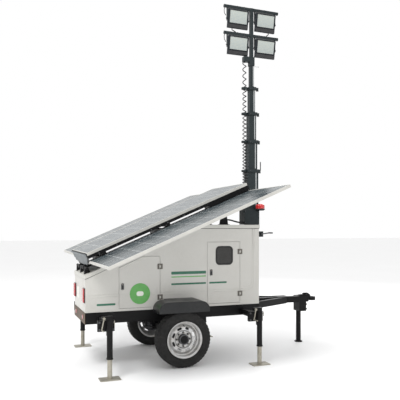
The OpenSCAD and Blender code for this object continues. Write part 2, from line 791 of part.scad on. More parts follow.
module panel_rack() {
  s0 = stack_s;
  s1 = stack_s + panel_len;
  y1 = panel_w / 2;
  color("#1b1b1d") in_rack() {
    // rails under the stack, from the hinge knuckles to the front
    both_sides() difference() {
      box([s0 - end_plate_t, s1 + end_plate_t], [under_y - 20, under_y + 20],
          [rail_n, rail_n + underframe_h]);
      box([s0 + 24, foot_s - 40], [under_y - 16, under_y + 16],
          [rail_n - over, rail_n + underframe_h - 4]);
    }
    // cross beams between the rails and the lowest panel
    for (s = guide_ss) box([s, s + guide_w], [-foot_y - 35, foot_y + 35],
        [rail_n, right_n - slide_gap]);
    // knuckles round the hinge bar
    for (y = [-knuckle_y, knuckle_y]) difference() {
      union() {
        translate([0, y, 0]) rod_y(knuckle_r, -knuckle_w / 2, knuckle_w);
        box([0, s0 + 20], [y - knuckle_w / 2, y + knuckle_w / 2], [rail_n + 6, knuckle_r]);
      }
      translate([0, y, 0]) rod_y(hinge_bar_r + turn_gap, -knuckle_w, 2 * knuckle_w);
    }
    box([s0 - end_plate_t, s0 + 20], [-under_y - 20, under_y + 20], [rail_n, right_n - 10]);
    // lateral guide strips below the right, the left and the centre panel
    for (s = guide_ss) {
      box([s, s + guide_w], [-y1, y1], [right_n - 10, right_n - slide_gap]);
      box([s, s + guide_w], [-y1, y1], [left_n - guide_t - slide_gap, left_n - slide_gap]);
      box([s, s + guide_w], [-y1, y1], [centre_n - guide_t, centre_n]);
    }
    // near side rail under the centre panel, deeper along its front part, with guide hangers
    box([s0, s1], [-y1, side_rail_w - y1], [centre_n - near_rail_h, centre_n]);
    box([s1 - near_rail_deep, s1], [-y1, side_rail_w - y1],
        [left_n - guide_t - slide_gap, centre_n]);
    for (s = guide_ss) box([s, s + guide_w], [-y1, side_rail_w - y1],
        [left_n - guide_t - slide_gap, centre_n]);
    // far side rail under the left panel
    box([s0, s1], [y1 - side_rail_w, y1], [right_n - 10, left_n - slide_gap]);
    // end plates that join the levels
    for (s = [s0 - end_plate_t - 1, s1 + 1]) box([s, s + end_plate_t], [-y1, y1],
        [left_n - guide_t, centre_n + panel_t - 2]);
    for (s = [s0 - end_plate_t - 1, s1 + 1]) translate([s, 0, 0]) rotate([90, 0, 90])
      linear_extrude(end_plate_t) polygon([[-under_y - 40, rail_n], [under_y + 40, rail_n],
          [y1, left_n], [-y1, left_n]]);
    for (s = [s0 - 1, s1]) box([s, s + 1], [y1 - side_rail_w, y1], [right_n, left_n - 1]);
    for (s = [s0 - 1, s1]) box([s, s + 1], [-y1, side_rail_w - y1],
        [centre_n - near_rail_h, centre_n]);
  }
}
module solar_panel(y0, n) {
  lip = 11;
  web = 2;
  in_rack() translate([stack_s, y0, n]) {
    color("#dfe0de") difference() {
      cube([panel_len, panel_w, panel_t]);
      translate([lip, lip, panel_t - 5]) cube([panel_len - 2 * lip, panel_w - 2 * lip, 6]);
      translate([web, web, 2]) cube([panel_len - 2 * web, panel_w - 2 * web, panel_t - 10]);
      translate([30, 30, -over]) cube([panel_len - 60, panel_w - 60, panel_t]);
    }
    color("#2c3e50") translate([lip, lip, panel_t - 8])
      cube([panel_len - 2 * lip, panel_w - 2 * lip, 6]);
  }
}
module panel_centre() { solar_panel(-panel_w / 2, centre_n); }
module panel_right() { solar_panel(-side_inner - panel_w, right_n); }
module panel_left() { solar_panel(side_inner, left_n); }

// ---- mast ----

module mast_collar(i) {
  size = section_size(i);
  outer = size + 2 * collar_wall;
  inner = section_size(i + 1) + 2 * slide_gap;
  reach = outer / 2 + mast_arm;
  difference() {
    union() {
      translate([-outer / 2, -outer / 2, -collar_h]) cube([outer, outer, collar_h]);
      translate([0, -11, -collar_h + 8]) cube([reach, 22, 16]);
      translate([reach, 0, -collar_h - 2]) cylinder(r = 15, h = 34);
      translate([-coil_x, -11, -26]) cube([coil_x, 22, 14]);
      translate([-coil_x, 0, -30]) cylinder(r = ring_r + 4, h = 22);
    }
    translate([-inner / 2, -inner / 2, -collar_h - over])
      cube([inner, inner, collar_h + 2 * over]);
    translate([-size / 2, -size / 2, -collar_h - over]) cube([size, size, collar_h - 8]);
    translate([-coil_x, 0, -60]) cylinder(r = ring_r, h = 80);
  }
}
module mast_section(i) {
  size = section_size(i);
  top = section_top(i);
  low = i == 1 ? mast_foot_z : top - section_len;
  color("#3b4144") from_axle() translate([mast_x, 0, 0]) {
    translate([0, 0, low]) square_tube(size, mast_wall, top - low - (i < 5 ? 8 : 0));
    if (i < 5) translate([0, 0, top]) mast_collar(i);
    if (i > 1) {
      pad = (section_size(i - 1) - 2 * mast_wall - size) / 2 - slide_gap;
      for (a = [0:90:270]) rotate([0, 0, a]) translate([size / 2, -18, low + 6])
        cube([pad, 36, 60]);
    }
  }
}
module mast_housing() {
  hole = mast_size + 2 * slide_gap;
  z1 = housing_z + housing_size[2];
  color("#26292b") from_axle() {
    difference() {
      box([housing_x, housing_x + housing_size[0]], [-housing_size[1] / 2, housing_size[1] / 2],
          [housing_z, z1]);
      box([mast_x - hole / 2, mast_x + hole / 2], [-hole / 2, hole / 2],
          [housing_z - over, z1 + over]);
      box([housing_x + 4, mast_x - hole / 2 - 8], [-housing_size[1] / 2 + 4,
          housing_size[1] / 2 - 4], [housing_z - over, z1 - 4]);
    }
    translate([housing_x - 12, -44, z1 - 52]) rotate([90, 0, 0]) cylinder(r = 12, h = 26);
    box([housing_x - 14, housing_x], [-66, -50], [z1 - 60, z1 - 44]);
    // arm that carries the beacon
    box([beacon_x - 30, beacon_x + 30], [beacon_y - 40, -housing_size[1] / 2],
        [beacon_z - 8, beacon_z]);
    // stand-offs between the cabinet's front wall and the mast
    for (z = [880, 1290]) box([cab_front, mast_x - mast_size / 2], [-50, 50], [z, z + 60]);
  }
}
module beacon_lamp() {
  color("#b01c1c") from_axle() translate([beacon_x, beacon_y, beacon_z]) rotate_extrude() polygon(
      concat([[0, 0], [beacon_r, 0], [beacon_r, 14]],
      arc([beacon_r - 26, beacon_h - 26], 24, 0, 90, 6), [[0, beacon_h - 2]]));
}
module winch_body() {
  face = mast_x + mast_size / 2;
  color("#2b2e30") from_axle() {
    box([face, face + 6], [-56, 56], [winch_z - 55, winch_z + 55]);
    both_sides() difference() {
      box([face + 6, winch_x + 38], [44, 50], [winch_z - 34, winch_z + 34]);
      translate([winch_x, 0, winch_z]) rod_y(9, 40, 20);
    }
    translate([winch_x, 0, winch_z]) difference() {
      union() {
        rod_y(winch_drum_r, -43, 86);
        rod_y(winch_flange_r, -43, 4);
        rod_y(winch_flange_r, 39, 4);
      }
      rod_y(8 + turn_gap, -50, 100);
    }
  }
}
module winch_crank() {
  color("#8a8c8c") from_axle() translate([winch_x, 0, winch_z]) {
    rod_y(8, -82, 140);
    translate([0, -75, 0]) rotate([0, -8, 0]) rod_x(7, 0, winch_crank_len);
    rotate([0, -8, 0]) translate([winch_crank_len, 0, 0]) rod_y(9, -160, 92);
  }
}
module mast_cable() {
  color("#161616") from_axle() translate([mast_x - coil_x, 0, cable_low_z])
    cylinder(r = coil_r, h = cable_top_z - cable_low_z);
}
// The cable's route from its roof gland to the mast housing
cable_route = [[676, -170, 1520], [676, -170, 1540], [684, -168, 1556], [704, -164, 1566],
  [740, -158, 1567], [780, -150, 1560], [820, -142, 1550], [860, -132, 1542],
  [890, -118, 1538], [916, -98, 1537], [940, -76, 1537], [960, -58, 1537],
  [974, -52, 1537], [housing_x - slide_gap, -52, 1537]];
module swept_tube(path, r, sides) {
  n = len(path);
  function heading(i) = let (v = path[min(n - 1, i + 1)] - path[max(0, i - 1)]) v / norm(v);
  function side_of(d) = let (v = cross(d, [0.31, 0.95, 0.05])) v / norm(v);
  points = [for (i = [0:n - 1]) let (d = heading(i), a = side_of(d), b = cross(d, a))
      for (k = [0:sides - 1])
        path[i] + r * (a * cos(360 * k / sides) + b * sin(360 * k / sides))];
  polyhedron(points, concat(
      [[for (k = [0:sides - 1]) k]],
      [for (i = [0:n - 2], k = [0:sides - 1]) let (m = (k + 1) % sides)
        [i * sides + k, (i + 1) * sides + m, i * sides + m]],
      [for (i = [0:n - 2], k = [0:sides - 1]) let (m = (k + 1) % sides)
        [i * sides + k, (i + 1) * sides + k, (i + 1) * sides + m]],
      [[for (k = [sides - 1:-1:0]) (n - 1) * sides + k]]));
}
module roof_cable() {
  color("#141414") from_axle() {
    swept_tube(cable_route, 9, 8);
    translate([676, -170, cab_roof_z]) cylinder(r = 17, h = 13);
  }
}

// ---- lamp head ----

module lamp_frame() {
  size = section_size(5);
  half = bar_len / 2;
  color("#3a3f42") from_axle() translate([mast_x, 0, 0]) {
    translate([0, 0, head_z]) translate([-post_size / 2, -post_size / 2, 0])
      cube([post_size, post_size, high_bar_z + bar_size / 2 - head_z]);
    difference() {
      translate([-size / 2 - 6, -size / 2 - 6, head_z - sleeve_h])
        cube([size + 12, size + 12, sleeve_h + 6]);
      translate([-size / 2 - slide_gap, -size / 2 - slide_gap, head_z - sleeve_h - over])
        cube([size + 2 * slide_gap, size + 2 * slide_gap, sleeve_h + over]);
    }
    for (z = [low_bar_z, high_bar_z]) {
      for (s = [-1, 1]) scale([s, 1, 1]) {
        translate([post_size / 2, -bar_size / 2, z - bar_size / 2])
          cube([half - post_size / 2, bar_size, bar_size]);
        translate([half, 0, z]) rod_x(20, 0, 10);
      }
      for (s = [-1, 1]) yoke(s * lamp_x, z - lamp_drop);
    }
    // junction box below the lower bar, with the coiled cable's gland
    translate([-size / 2 - 6 - junction_size[0], -junction_size[1] / 2, junction_z])
      cube(junction_size);
    translate([-coil_x, 0, cable_top_z]) cylinder(r = 12, h = gland_h);
  }
}
module yoke(x, z) {
  leg = lamp_w / 2 + slide_gap;
  translate([x, lamp_y, z]) {
    for (s = [-1, 1]) scale([s, 1, 1]) {
      translate([leg, -yoke_w / 2, -24]) cube([yoke_t, yoke_w, lamp_drop - bar_size / 2 + 24]);
      rod_x(lamp_pin_r, leg - 12, 12 + yoke_t + 4);
    }
    translate([-leg - yoke_t, -yoke_w / 2, lamp_drop - bar_size / 2 - yoke_t])
      cube([2 * (leg + yoke_t), yoke_w, yoke_t]);
  }
}
module floodlight(x_side, bar_z) {
  color("#2a2d30") from_axle()
    translate([mast_x + x_side * lamp_x, lamp_y, bar_z - lamp_drop]) difference() {
      rotate([lamp_tilt, 0, 0]) union() {
        translate([-lamp_w / 2, -lamp_d / 2, -lamp_h / 2]) cube([lamp_w, lamp_d - 18, lamp_h]);
        for (i = [0:10]) translate([-lamp_w / 2 + 18 + i * 23, lamp_d / 2 - 18, 20 - lamp_h / 2])
          cube([5, 18, lamp_h - 40]);
        translate([-117, -lamp_d / 2 - 4, lamp_h / 2 - 164]) cube([234, 4, 150]);
      }
      for (s = [-1, 1]) scale([s, 1, 1])
        rod_x(lamp_pin_r + turn_gap, lamp_w / 2 - 13, 20);
    }
}

// ---- one module for each repeated node ----

module tyre_right() { tyre(-1); }
module tyre_left() { tyre(1); }
module rim_right() { rim(-1); }
module rim_left() { rim(1); }
module hub_right() { hub(-1); }
module hub_left() { hub(1); }
module jack_tube_front_right() { jack_tube(front_jack, -1); }
module jack_leg_front_right() { jack_leg(front_jack, -1); }
module jack_crank_front_right() { jack_crank(front_jack, -1); }
module jack_tube_front_left() { jack_tube(front_jack, 1); }
module jack_leg_front_left() { jack_leg(front_jack, 1); }
module jack_crank_front_left() { jack_crank(front_jack, 1); }
module jack_tube_rear_right() { jack_tube(-rear_jack, -1); }
module jack_leg_rear_right() { jack_leg(-rear_jack, -1); }
module jack_crank_rear_right() { jack_crank(-rear_jack, -1); }
module jack_tube_rear_left() { jack_tube(-rear_jack, 1); }
module jack_leg_rear_left() { jack_leg(-rear_jack, 1); }
module jack_crank_rear_left() { jack_crank(-rear_jack, 1); }
module door_rear_right() { rear_door(-1); }
module door_rear_left() { rear_door(1); }
module door_front_right() { front_door(-1); }
module door_front_left() { front_door(1); }
module window_right() { window(-1); }
module window_left() { window(1); }
module mast_section_1() { mast_section(1); }
module mast_section_2() { mast_section(2); }
module mast_section_3() { mast_section(3); }
module mast_section_4() { mast_section(4); }
module mast_section_5() { mast_section(5); }
module floodlight_1() { floodlight(-1, high_bar_z); }
module floodlight_2() { floodlight(1, high_bar_z); }
module floodlight_3() { floodlight(-1, low_bar_z); }
module floodlight_4() { floodlight(1, low_bar_z); }

chassis_frame();
drawbar_frame();
tow_eye();
axle_beam();
leaf_springs();
fenders();
cabinet_shell();
cabinet_roof();
door_hinges();
tail_lamps();
battery_bank();
control_box();
outrigger_sleeves();
prop_clamp();
panel_mounts();
roof_cable();
mast_housing();
mast_section_1();
winch_body();
beacon_lamp();
tyre_right();
rim_right();
hub_right();
tyre_left();
rim_left();
hub_left();
jack_tube_front_right();
jack_leg_front_right();
jack_crank_front_right();
jack_tube_front_left();
jack_leg_front_left();
jack_crank_front_left();
jack_tube_rear_right();
jack_leg_rear_right();
jack_crank_rear_right();
jack_tube_rear_left();
jack_leg_rear_left();
jack_crank_rear_left();
prop_leg();
door_rear_right();
door_rear_left();
door_front_right();
door_front_left();
window_right();
window_left();
panel_rack();
panel_centre();
panel_right();
panel_left();
mast_section_2();
mast_section_3();
mast_section_4();
mast_section_5();
winch_crank();
mast_cable();
lamp_frame();
floodlight_1();
floodlight_2();
floodlight_3();
floodlight_4();
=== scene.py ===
"""Solar lighting tower trailer: looks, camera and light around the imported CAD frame.

Everything is in metres in the row frame: X forward to the tow eye, Y to the left, Z up.
"""
import json
import math

import bmesh
import bpy
from mathutils import Matrix, Vector


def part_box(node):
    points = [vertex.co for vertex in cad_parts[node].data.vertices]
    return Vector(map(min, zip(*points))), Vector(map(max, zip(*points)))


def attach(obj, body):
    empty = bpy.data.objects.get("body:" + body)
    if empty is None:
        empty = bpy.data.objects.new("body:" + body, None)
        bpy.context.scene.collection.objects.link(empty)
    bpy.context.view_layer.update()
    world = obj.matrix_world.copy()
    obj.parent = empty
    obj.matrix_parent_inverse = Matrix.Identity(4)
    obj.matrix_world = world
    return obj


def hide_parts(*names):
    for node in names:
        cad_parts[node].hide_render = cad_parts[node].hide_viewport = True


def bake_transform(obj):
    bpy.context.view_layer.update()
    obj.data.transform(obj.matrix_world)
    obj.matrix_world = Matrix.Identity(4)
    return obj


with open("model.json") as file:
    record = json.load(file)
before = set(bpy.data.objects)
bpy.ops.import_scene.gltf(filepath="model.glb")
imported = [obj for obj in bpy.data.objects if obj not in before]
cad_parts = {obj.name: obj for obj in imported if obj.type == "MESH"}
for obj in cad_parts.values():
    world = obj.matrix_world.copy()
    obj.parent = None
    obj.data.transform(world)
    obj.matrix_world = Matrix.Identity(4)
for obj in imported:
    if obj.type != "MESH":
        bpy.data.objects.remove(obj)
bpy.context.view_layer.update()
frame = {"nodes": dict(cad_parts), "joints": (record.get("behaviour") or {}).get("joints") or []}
NODES = frame["nodes"]
JOINT = {j["name"]: j for j in frame["joints"]}


def middle_x(name):
    lo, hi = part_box(name)
    return (lo.x + hi.x) / 2


def joint_at(name):
    return Vector(JOINT[name]["pos_m"])


# ---- places read from the frame ----

AXLE_X = middle_x("axle_beam")
CAB_LO, CAB_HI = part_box("cabinet_shell")
CAB_HALF = CAB_HI.y
MAST_X = middle_x("mast_section_5")
SECTION_TOP = [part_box(f"mast_section_{i}")[1].z for i in range(1, 6)]
TILT = math.radians(23.1)
# Rack frame: x along the panels, z square to them, origin on the hinge bar
RACK = Matrix.Translation(joint_at("rack_tilt")) @ Matrix.Rotation(-TILT, 4, "Y")
SIDES = {"right": -1, "left": 1}
JACKS = [f"{end}_{side}" for end in ("front", "rear") for side in SIDES]


# ---- materials ----


class Nodes:
    """A short way to write a node tree: each call adds a node and links its inputs."""

    def __init__(self, name):
        self.mat = bpy.data.materials.new(name)
        self.mat.use_nodes = True
        self.tree = self.mat.node_tree
        self.shader = self.tree.nodes["Principled BSDF"]

    def add(self, kind, inputs=None, **props):
        node = self.tree.nodes.new(kind)
        for key, value in props.items():
            setattr(node, key, value)
        for key, value in (inputs or {}).items():
            self.link(value, node.inputs[key])
        return node

    def link(self, value, socket):
        if isinstance(value, bpy.types.NodeSocket):
            self.tree.links.new(value, socket)
        else:
            socket.default_value = value

    def set(self, **values):
        for key, value in values.items():
            self.link(value, self.shader.inputs[key.replace("_", " ")])

    def coords(self, kind="Object"):
        return self.add("ShaderNodeTexCoord").outputs[kind]

    def noise(self, scale, detail=4.0, rough=0.5):
        inputs = {"Scale": scale, "Detail": detail, "Roughness": rough, "Vector": self.coords()}
        return self.add("ShaderNodeTexNoise", inputs).outputs["Fac"]

    def ramp(self, value, low, high, a=0.0, b=1.0):
        inputs = {"Value": value, "From Min": low, "From Max": high, "To Min": a, "To Max": b}
        return self.add("ShaderNodeMapRange", inputs).outputs["Result"]

    def math(self, op, a, b=0.0):
        return self.add("ShaderNodeMath", {0: a, 1: b}, operation=op).outputs[0]

    def mix(self, factor, a, b):
        node = self.add("ShaderNodeMix", data_type="RGBA")
        self.link(factor, node.inputs["Factor"])
        self.link(a, node.inputs[6])
        self.link(b, node.inputs[7])
        return node.outputs[2]

    def bump(self, height, strength, distance, normal=None):
        """A bump on top of the rounded normal, if one is given."""
        inputs = {"Height": height, "Strength": strength, "Distance": distance}
        if normal:
            inputs["Normal"] = normal
        return self.add("ShaderNodeBump", inputs).outputs["Normal"]

    def rounded(self, radius):
        return self.add("ShaderNodeBevel", {"Radius": radius}, samples=4).outputs["Normal"]

    def cells(self, uv, columns, rows):
        """Distance from the middle of a grid's cell, across and up, over the UV square."""
        found = []
        for axis, count in (("X", columns), ("Y", rows)):
            cell = self.math("FRACT", self.math("MULTIPLY", uv.outputs[axis], count))
            found.append(self.math("ABSOLUTE", self.math("SUBTRACT", cell, 0.5)))
        return found

    def height(self):
        return self.add("ShaderNodeSeparateXYZ", {0: self.coords()}).outputs["Z"]


def rgb(r, g, b):
    return (r, g, b, 1.0)


def painted(name, base, dirt, rough=0.35, dirt_amount=0.35, low_dirt=0.0, edge=0.002, peel=0.1,
            gloss=0.5):
    """Sprayed or powder-coated metal: orange peel, faint mottling, and dust that gathers low."""
    n = Nodes(name)
    mottle = n.ramp(n.noise(3.2, 6, 0.6), 0.35, 0.75)
    streak = n.noise(38, 3, 0.7)
    dust = n.math("MULTIPLY", mottle, n.ramp(streak, 0.3, 0.8))
    dust = n.math("MULTIPLY", dust, dirt_amount)
    if low_dirt:
        near_ground = n.ramp(n.height(), 0.85, 0.1, 0.0, low_dirt)
        dust = n.math("ADD", dust, n.math("MULTIPLY", near_ground, mottle))
    n.set(Base_Color=n.mix(dust, base, dirt))
    n.set(Roughness=n.ramp(mottle, 0, 1, rough, min(1.0, rough + 0.18)), Specular_IOR_Level=gloss)
    n.set(Normal=n.bump(n.noise(900, 2), peel, 0.0004, n.rounded(edge)))
    return n.mat


def metal(name, base, rough, grain=0.2, tint=None, metallic=1.0, edge=0.0015):
    """Bare, plated or anodised metal with fine grain and slight stain."""
    n = Nodes(name)
    stain = n.ramp(n.noise(14, 5, 0.6), 0.35, 0.8)
    n.set(Base_Color=n.mix(stain, base, tint or tuple(0.72 * c for c in base[:3]) + (1.0,)))
    n.set(Metallic=metallic)
    n.set(Roughness=n.ramp(n.noise(160, 3), 0.2, 0.8, rough, rough + 0.16))
    n.set(Normal=n.bump(n.noise(700, 2), grain, 0.0003, n.rounded(edge)))
    return n.mat


def rubber(name, base, dust, amount, rough):
    """Matt rubber with dusty patches."""
    n = Nodes(name)
    patch = n.math("MULTIPLY", n.ramp(n.noise(9, 6, 0.65), 0.4, 0.75), amount)
    n.set(Base_Color=n.mix(patch, base, dust))
    n.set(Roughness=n.ramp(n.noise(60, 3), 0.2, 0.8, rough - 0.1, rough + 0.14))
    n.set(Normal=n.bump(n.noise(480, 3), 0.25, 0.0005, n.rounded(0.001)))
    return n.mat


def plastic(name, base, rough, coat=0.0, transmission=0.0):
    """Moulded or printed plastic, a little lighter in flecks."""
    n = Nodes(name)
    lighter = tuple(min(1.0, c * 1.06 + 0.01) for c in base[:3]) + (1.0,)
    n.set(Base_Color=n.mix(n.ramp(n.noise(24, 4), 0.35, 0.7), base, lighter))
    n.set(Roughness=n.ramp(n.noise(90, 3), 0.2, 0.8, rough, rough + 0.1))
    n.set(Coat_Weight=coat, Transmission_Weight=transmission)
    n.set(Normal=n.bump(n.noise(1100, 2), 0.06, 0.0003, n.rounded(0.0008)))
    return n.mat


def cell_glass():
    """Solar glass over dark cells: six by twelve square cells with clipped corners and busbars."""
    n = Nodes("solar_glass")
    uv = n.add("ShaderNodeSeparateXYZ", {0: n.coords("UV")})
    edges = n.cells(uv, 12, 6)
    gap = n.math("GREATER_THAN", n.math("MAXIMUM", *edges), 0.486)
    corner = n.math("GREATER_THAN", n.math("ADD", *edges), 0.915)
    line = n.math("MAXIMUM", gap, corner)
    bars = n.math("FRACT", n.math("MULTIPLY", uv.outputs["Y"], 18))
    bar = n.math("LESS_THAN", n.math("ABSOLUTE", n.math("SUBTRACT", bars, 0.5)), 0.02)
    number = n.add("ShaderNodeTexWhiteNoise", {"Vector": n.add("ShaderNodeVectorMath", {
        0: n.add("ShaderNodeVectorMath", {0: n.coords("UV"), 1: (12, 6, 0)},
                 operation="MULTIPLY").outputs[0]}, operation="FLOOR").outputs[0]})
    tone = n.mix(number.outputs["Value"], rgb(0.026, 0.040, 0.050), rgb(0.036, 0.055, 0.064))
    tone = n.mix(n.math("MULTIPLY", bar, 0.5), tone, rgb(0.32, 0.34, 0.34))
    tone = n.mix(line, tone, rgb(0.38, 0.40, 0.40))
    dust = n.math("MULTIPLY", n.ramp(n.noise(5, 6, 0.6), 0.35, 0.8), 0.24)
    n.set(Base_Color=n.mix(dust, tone, rgb(0.42, 0.44, 0.43)))
    n.set(Roughness=n.ramp(n.noise(30, 4), 0.2, 0.8, 0.16, 0.34), Specular_IOR_Level=0.32)
    return n.mat


def led_lens():
    """Pale emitter board behind the floodlight's glass, with its grid of diodes; the board is
    painted lighter towards the top, a painted sheen.
    """
    n = Nodes("led_lens")
    uv = n.add("ShaderNodeSeparateXYZ", {0: n.coords("UV")})
    diode = n.math("LESS_THAN", n.math("MAXIMUM", *n.cells(uv, 14, 9)), 0.27)
    # Painted sheen: the board's colour grows lighter from bottom to top.
    board = n.mix(n.ramp(uv.outputs["Y"], 0, 1), rgb(0.33, 0.38, 0.39), rgb(0.42, 0.47, 0.46))
    n.set(Base_Color=n.mix(n.math("MULTIPLY", diode, 0.8), board, rgb(0.54, 0.53, 0.43)))
    n.set(Roughness=n.ramp(n.noise(60, 3), 0.2, 0.8, 0.14, 0.28), Coat_Weight=0.3)
    n.set(Normal=n.bump(diode, 0.25, 0.001))
    return n.mat


WHITE = painted("cabinet_white", rgb(0.585, 0.575, 0.540), rgb(0.38, 0.355, 0.31), 0.30, 0.22,
                0.30)
ROOF_WHITE = painted("roof_white", rgb(0.565, 0.560, 0.520), rgb(0.36, 0.34, 0.30), 0.32, 0.28)
BLACK = painted("black_steel_paint", rgb(0.007, 0.007, 0.0075), rgb(0.040, 0.037, 0.033), 0.38,
                0.12, 0.08, 0.0025, gloss=0.15)
BLACK_FENDER = painted("black_fender_paint", rgb(0.012, 0.013, 0.014), rgb(0.09, 0.09, 0.085),
                       0.28, 0.25, 0.1, 0.004, gloss=0.35)
BROWN = painted("rear_beam_paint", rgb(0.075, 0.044, 0.020), rgb(0.11, 0.08, 0.05), 0.4, 0.3,
                gloss=0.25)
MAST = painted("mast_paint", rgb(0.018, 0.025, 0.027), rgb(0.060, 0.071, 0.071), 0.38, 0.4, 0,
               0.004, gloss=0.22)
DARK = painted("lamp_housing_paint", rgb(0.012, 0.015, 0.020), rgb(0.05, 0.05, 0.05), 0.4, 0.25,
               gloss=0.25)
GREY = painted("grey_sheet_paint", rgb(0.18, 0.20, 0.21), rgb(0.08, 0.085, 0.09), 0.42, 0.7)
CONTROL = painted("control_panel_paint", rgb(0.46, 0.47, 0.46), rgb(0.3, 0.3, 0.28), 0.4, 0.2)
ALUMINIUM = metal("anodised_frame", rgb(0.63, 0.62, 0.58), 0.36, 0.1, rgb(0.54, 0.53, 0.50), 0.35)
ZINC = metal("zinc_plated", rgb(0.42, 0.395, 0.335), 0.38, 0.3, rgb(0.25, 0.235, 0.19), 0.7)
RIM = metal("rim_silver", rgb(0.60, 0.60, 0.60), 0.32, 0.15, rgb(0.38, 0.36, 0.33), 0.75, 0.003)
DARK_METAL = metal("dark_metal", rgb(0.10, 0.10, 0.105), 0.4, 0.3, metallic=0.8)
HINGE_STEEL = metal("hinge_steel", rgb(0.20, 0.185, 0.16), 0.45, 0.3, metallic=0.4)
# Steel for the ropes and the whisker, and for the light strips painted on the mast as its
# highlight.
ROPE_AND_HIGHLIGHT = metal("steel_rope_and_highlight", rgb(0.52, 0.54, 0.54), 0.4, 0.6, metallic=0.7)
TYRE = rubber("tyre_rubber", rgb(0.005, 0.005, 0.005), rgb(0.026, 0.023, 0.020), 0.4, 0.8)
# Dark rubber for the window seals, and for the painted shadow strip under the roof lip.
SEAL_AND_SHADOW_RUBBER = rubber("rubber_seal_and_shadow_strip", rgb(0.014, 0.014, 0.014), rgb(0.05, 0.05, 0.05), 0.3, 0.6)
CABLE = rubber("cable_sheath", rgb(0.007, 0.007, 0.008), rgb(0.03, 0.03, 0.03), 0.3, 0.7)
BATTERY = plastic("battery_case", rgb(0.03, 0.032, 0.036), 0.5)
RED = plastic("red_lens", rgb(0.52, 0.012, 0.014), 0.12, 0.6, 0.25)
AMBER_RED = plastic("beacon_red", rgb(0.70, 0.03, 0.03), 0.10, 0.6, 0.35)
WINDOW = plastic("tinted_window", rgb(0.012, 0.011, 0.009), 0.10, 0.3, 0.10)
BLACK_PLASTIC = plastic("black_plastic", rgb(0.02, 0.02, 0.022), 0.4)
BACKSHEET = plastic("panel_backsheet", rgb(0.62, 0.64, 0.66), 0.45)
GREEN = plastic("green_decal", rgb(0.105, 0.370, 0.085), 0.4, 0.2)
DEEP_GREEN = plastic("deep_green_decal", rgb(0.020, 0.130, 0.075), 0.4, 0.2)
WHITE_DECAL = plastic("white_decal", rgb(0.75, 0.76, 0.70), 0.4, 0.2)
CELLS = cell_glass()
LED = led_lens()


# ---- mesh building ----


def once(items):
    """The items once each, in the order they come."""
    return list(dict.fromkeys(items))


def turn_angles(steps):
    return [2 * math.pi * k / steps for k in range(steps)]


def move(x, y, z):
    return Matrix.Translation((x, y, z))


def add_object(name, data):
    made = bpy.data.objects.new(name, data)
    bpy.context.scene.collection.objects.link(made)
    return made


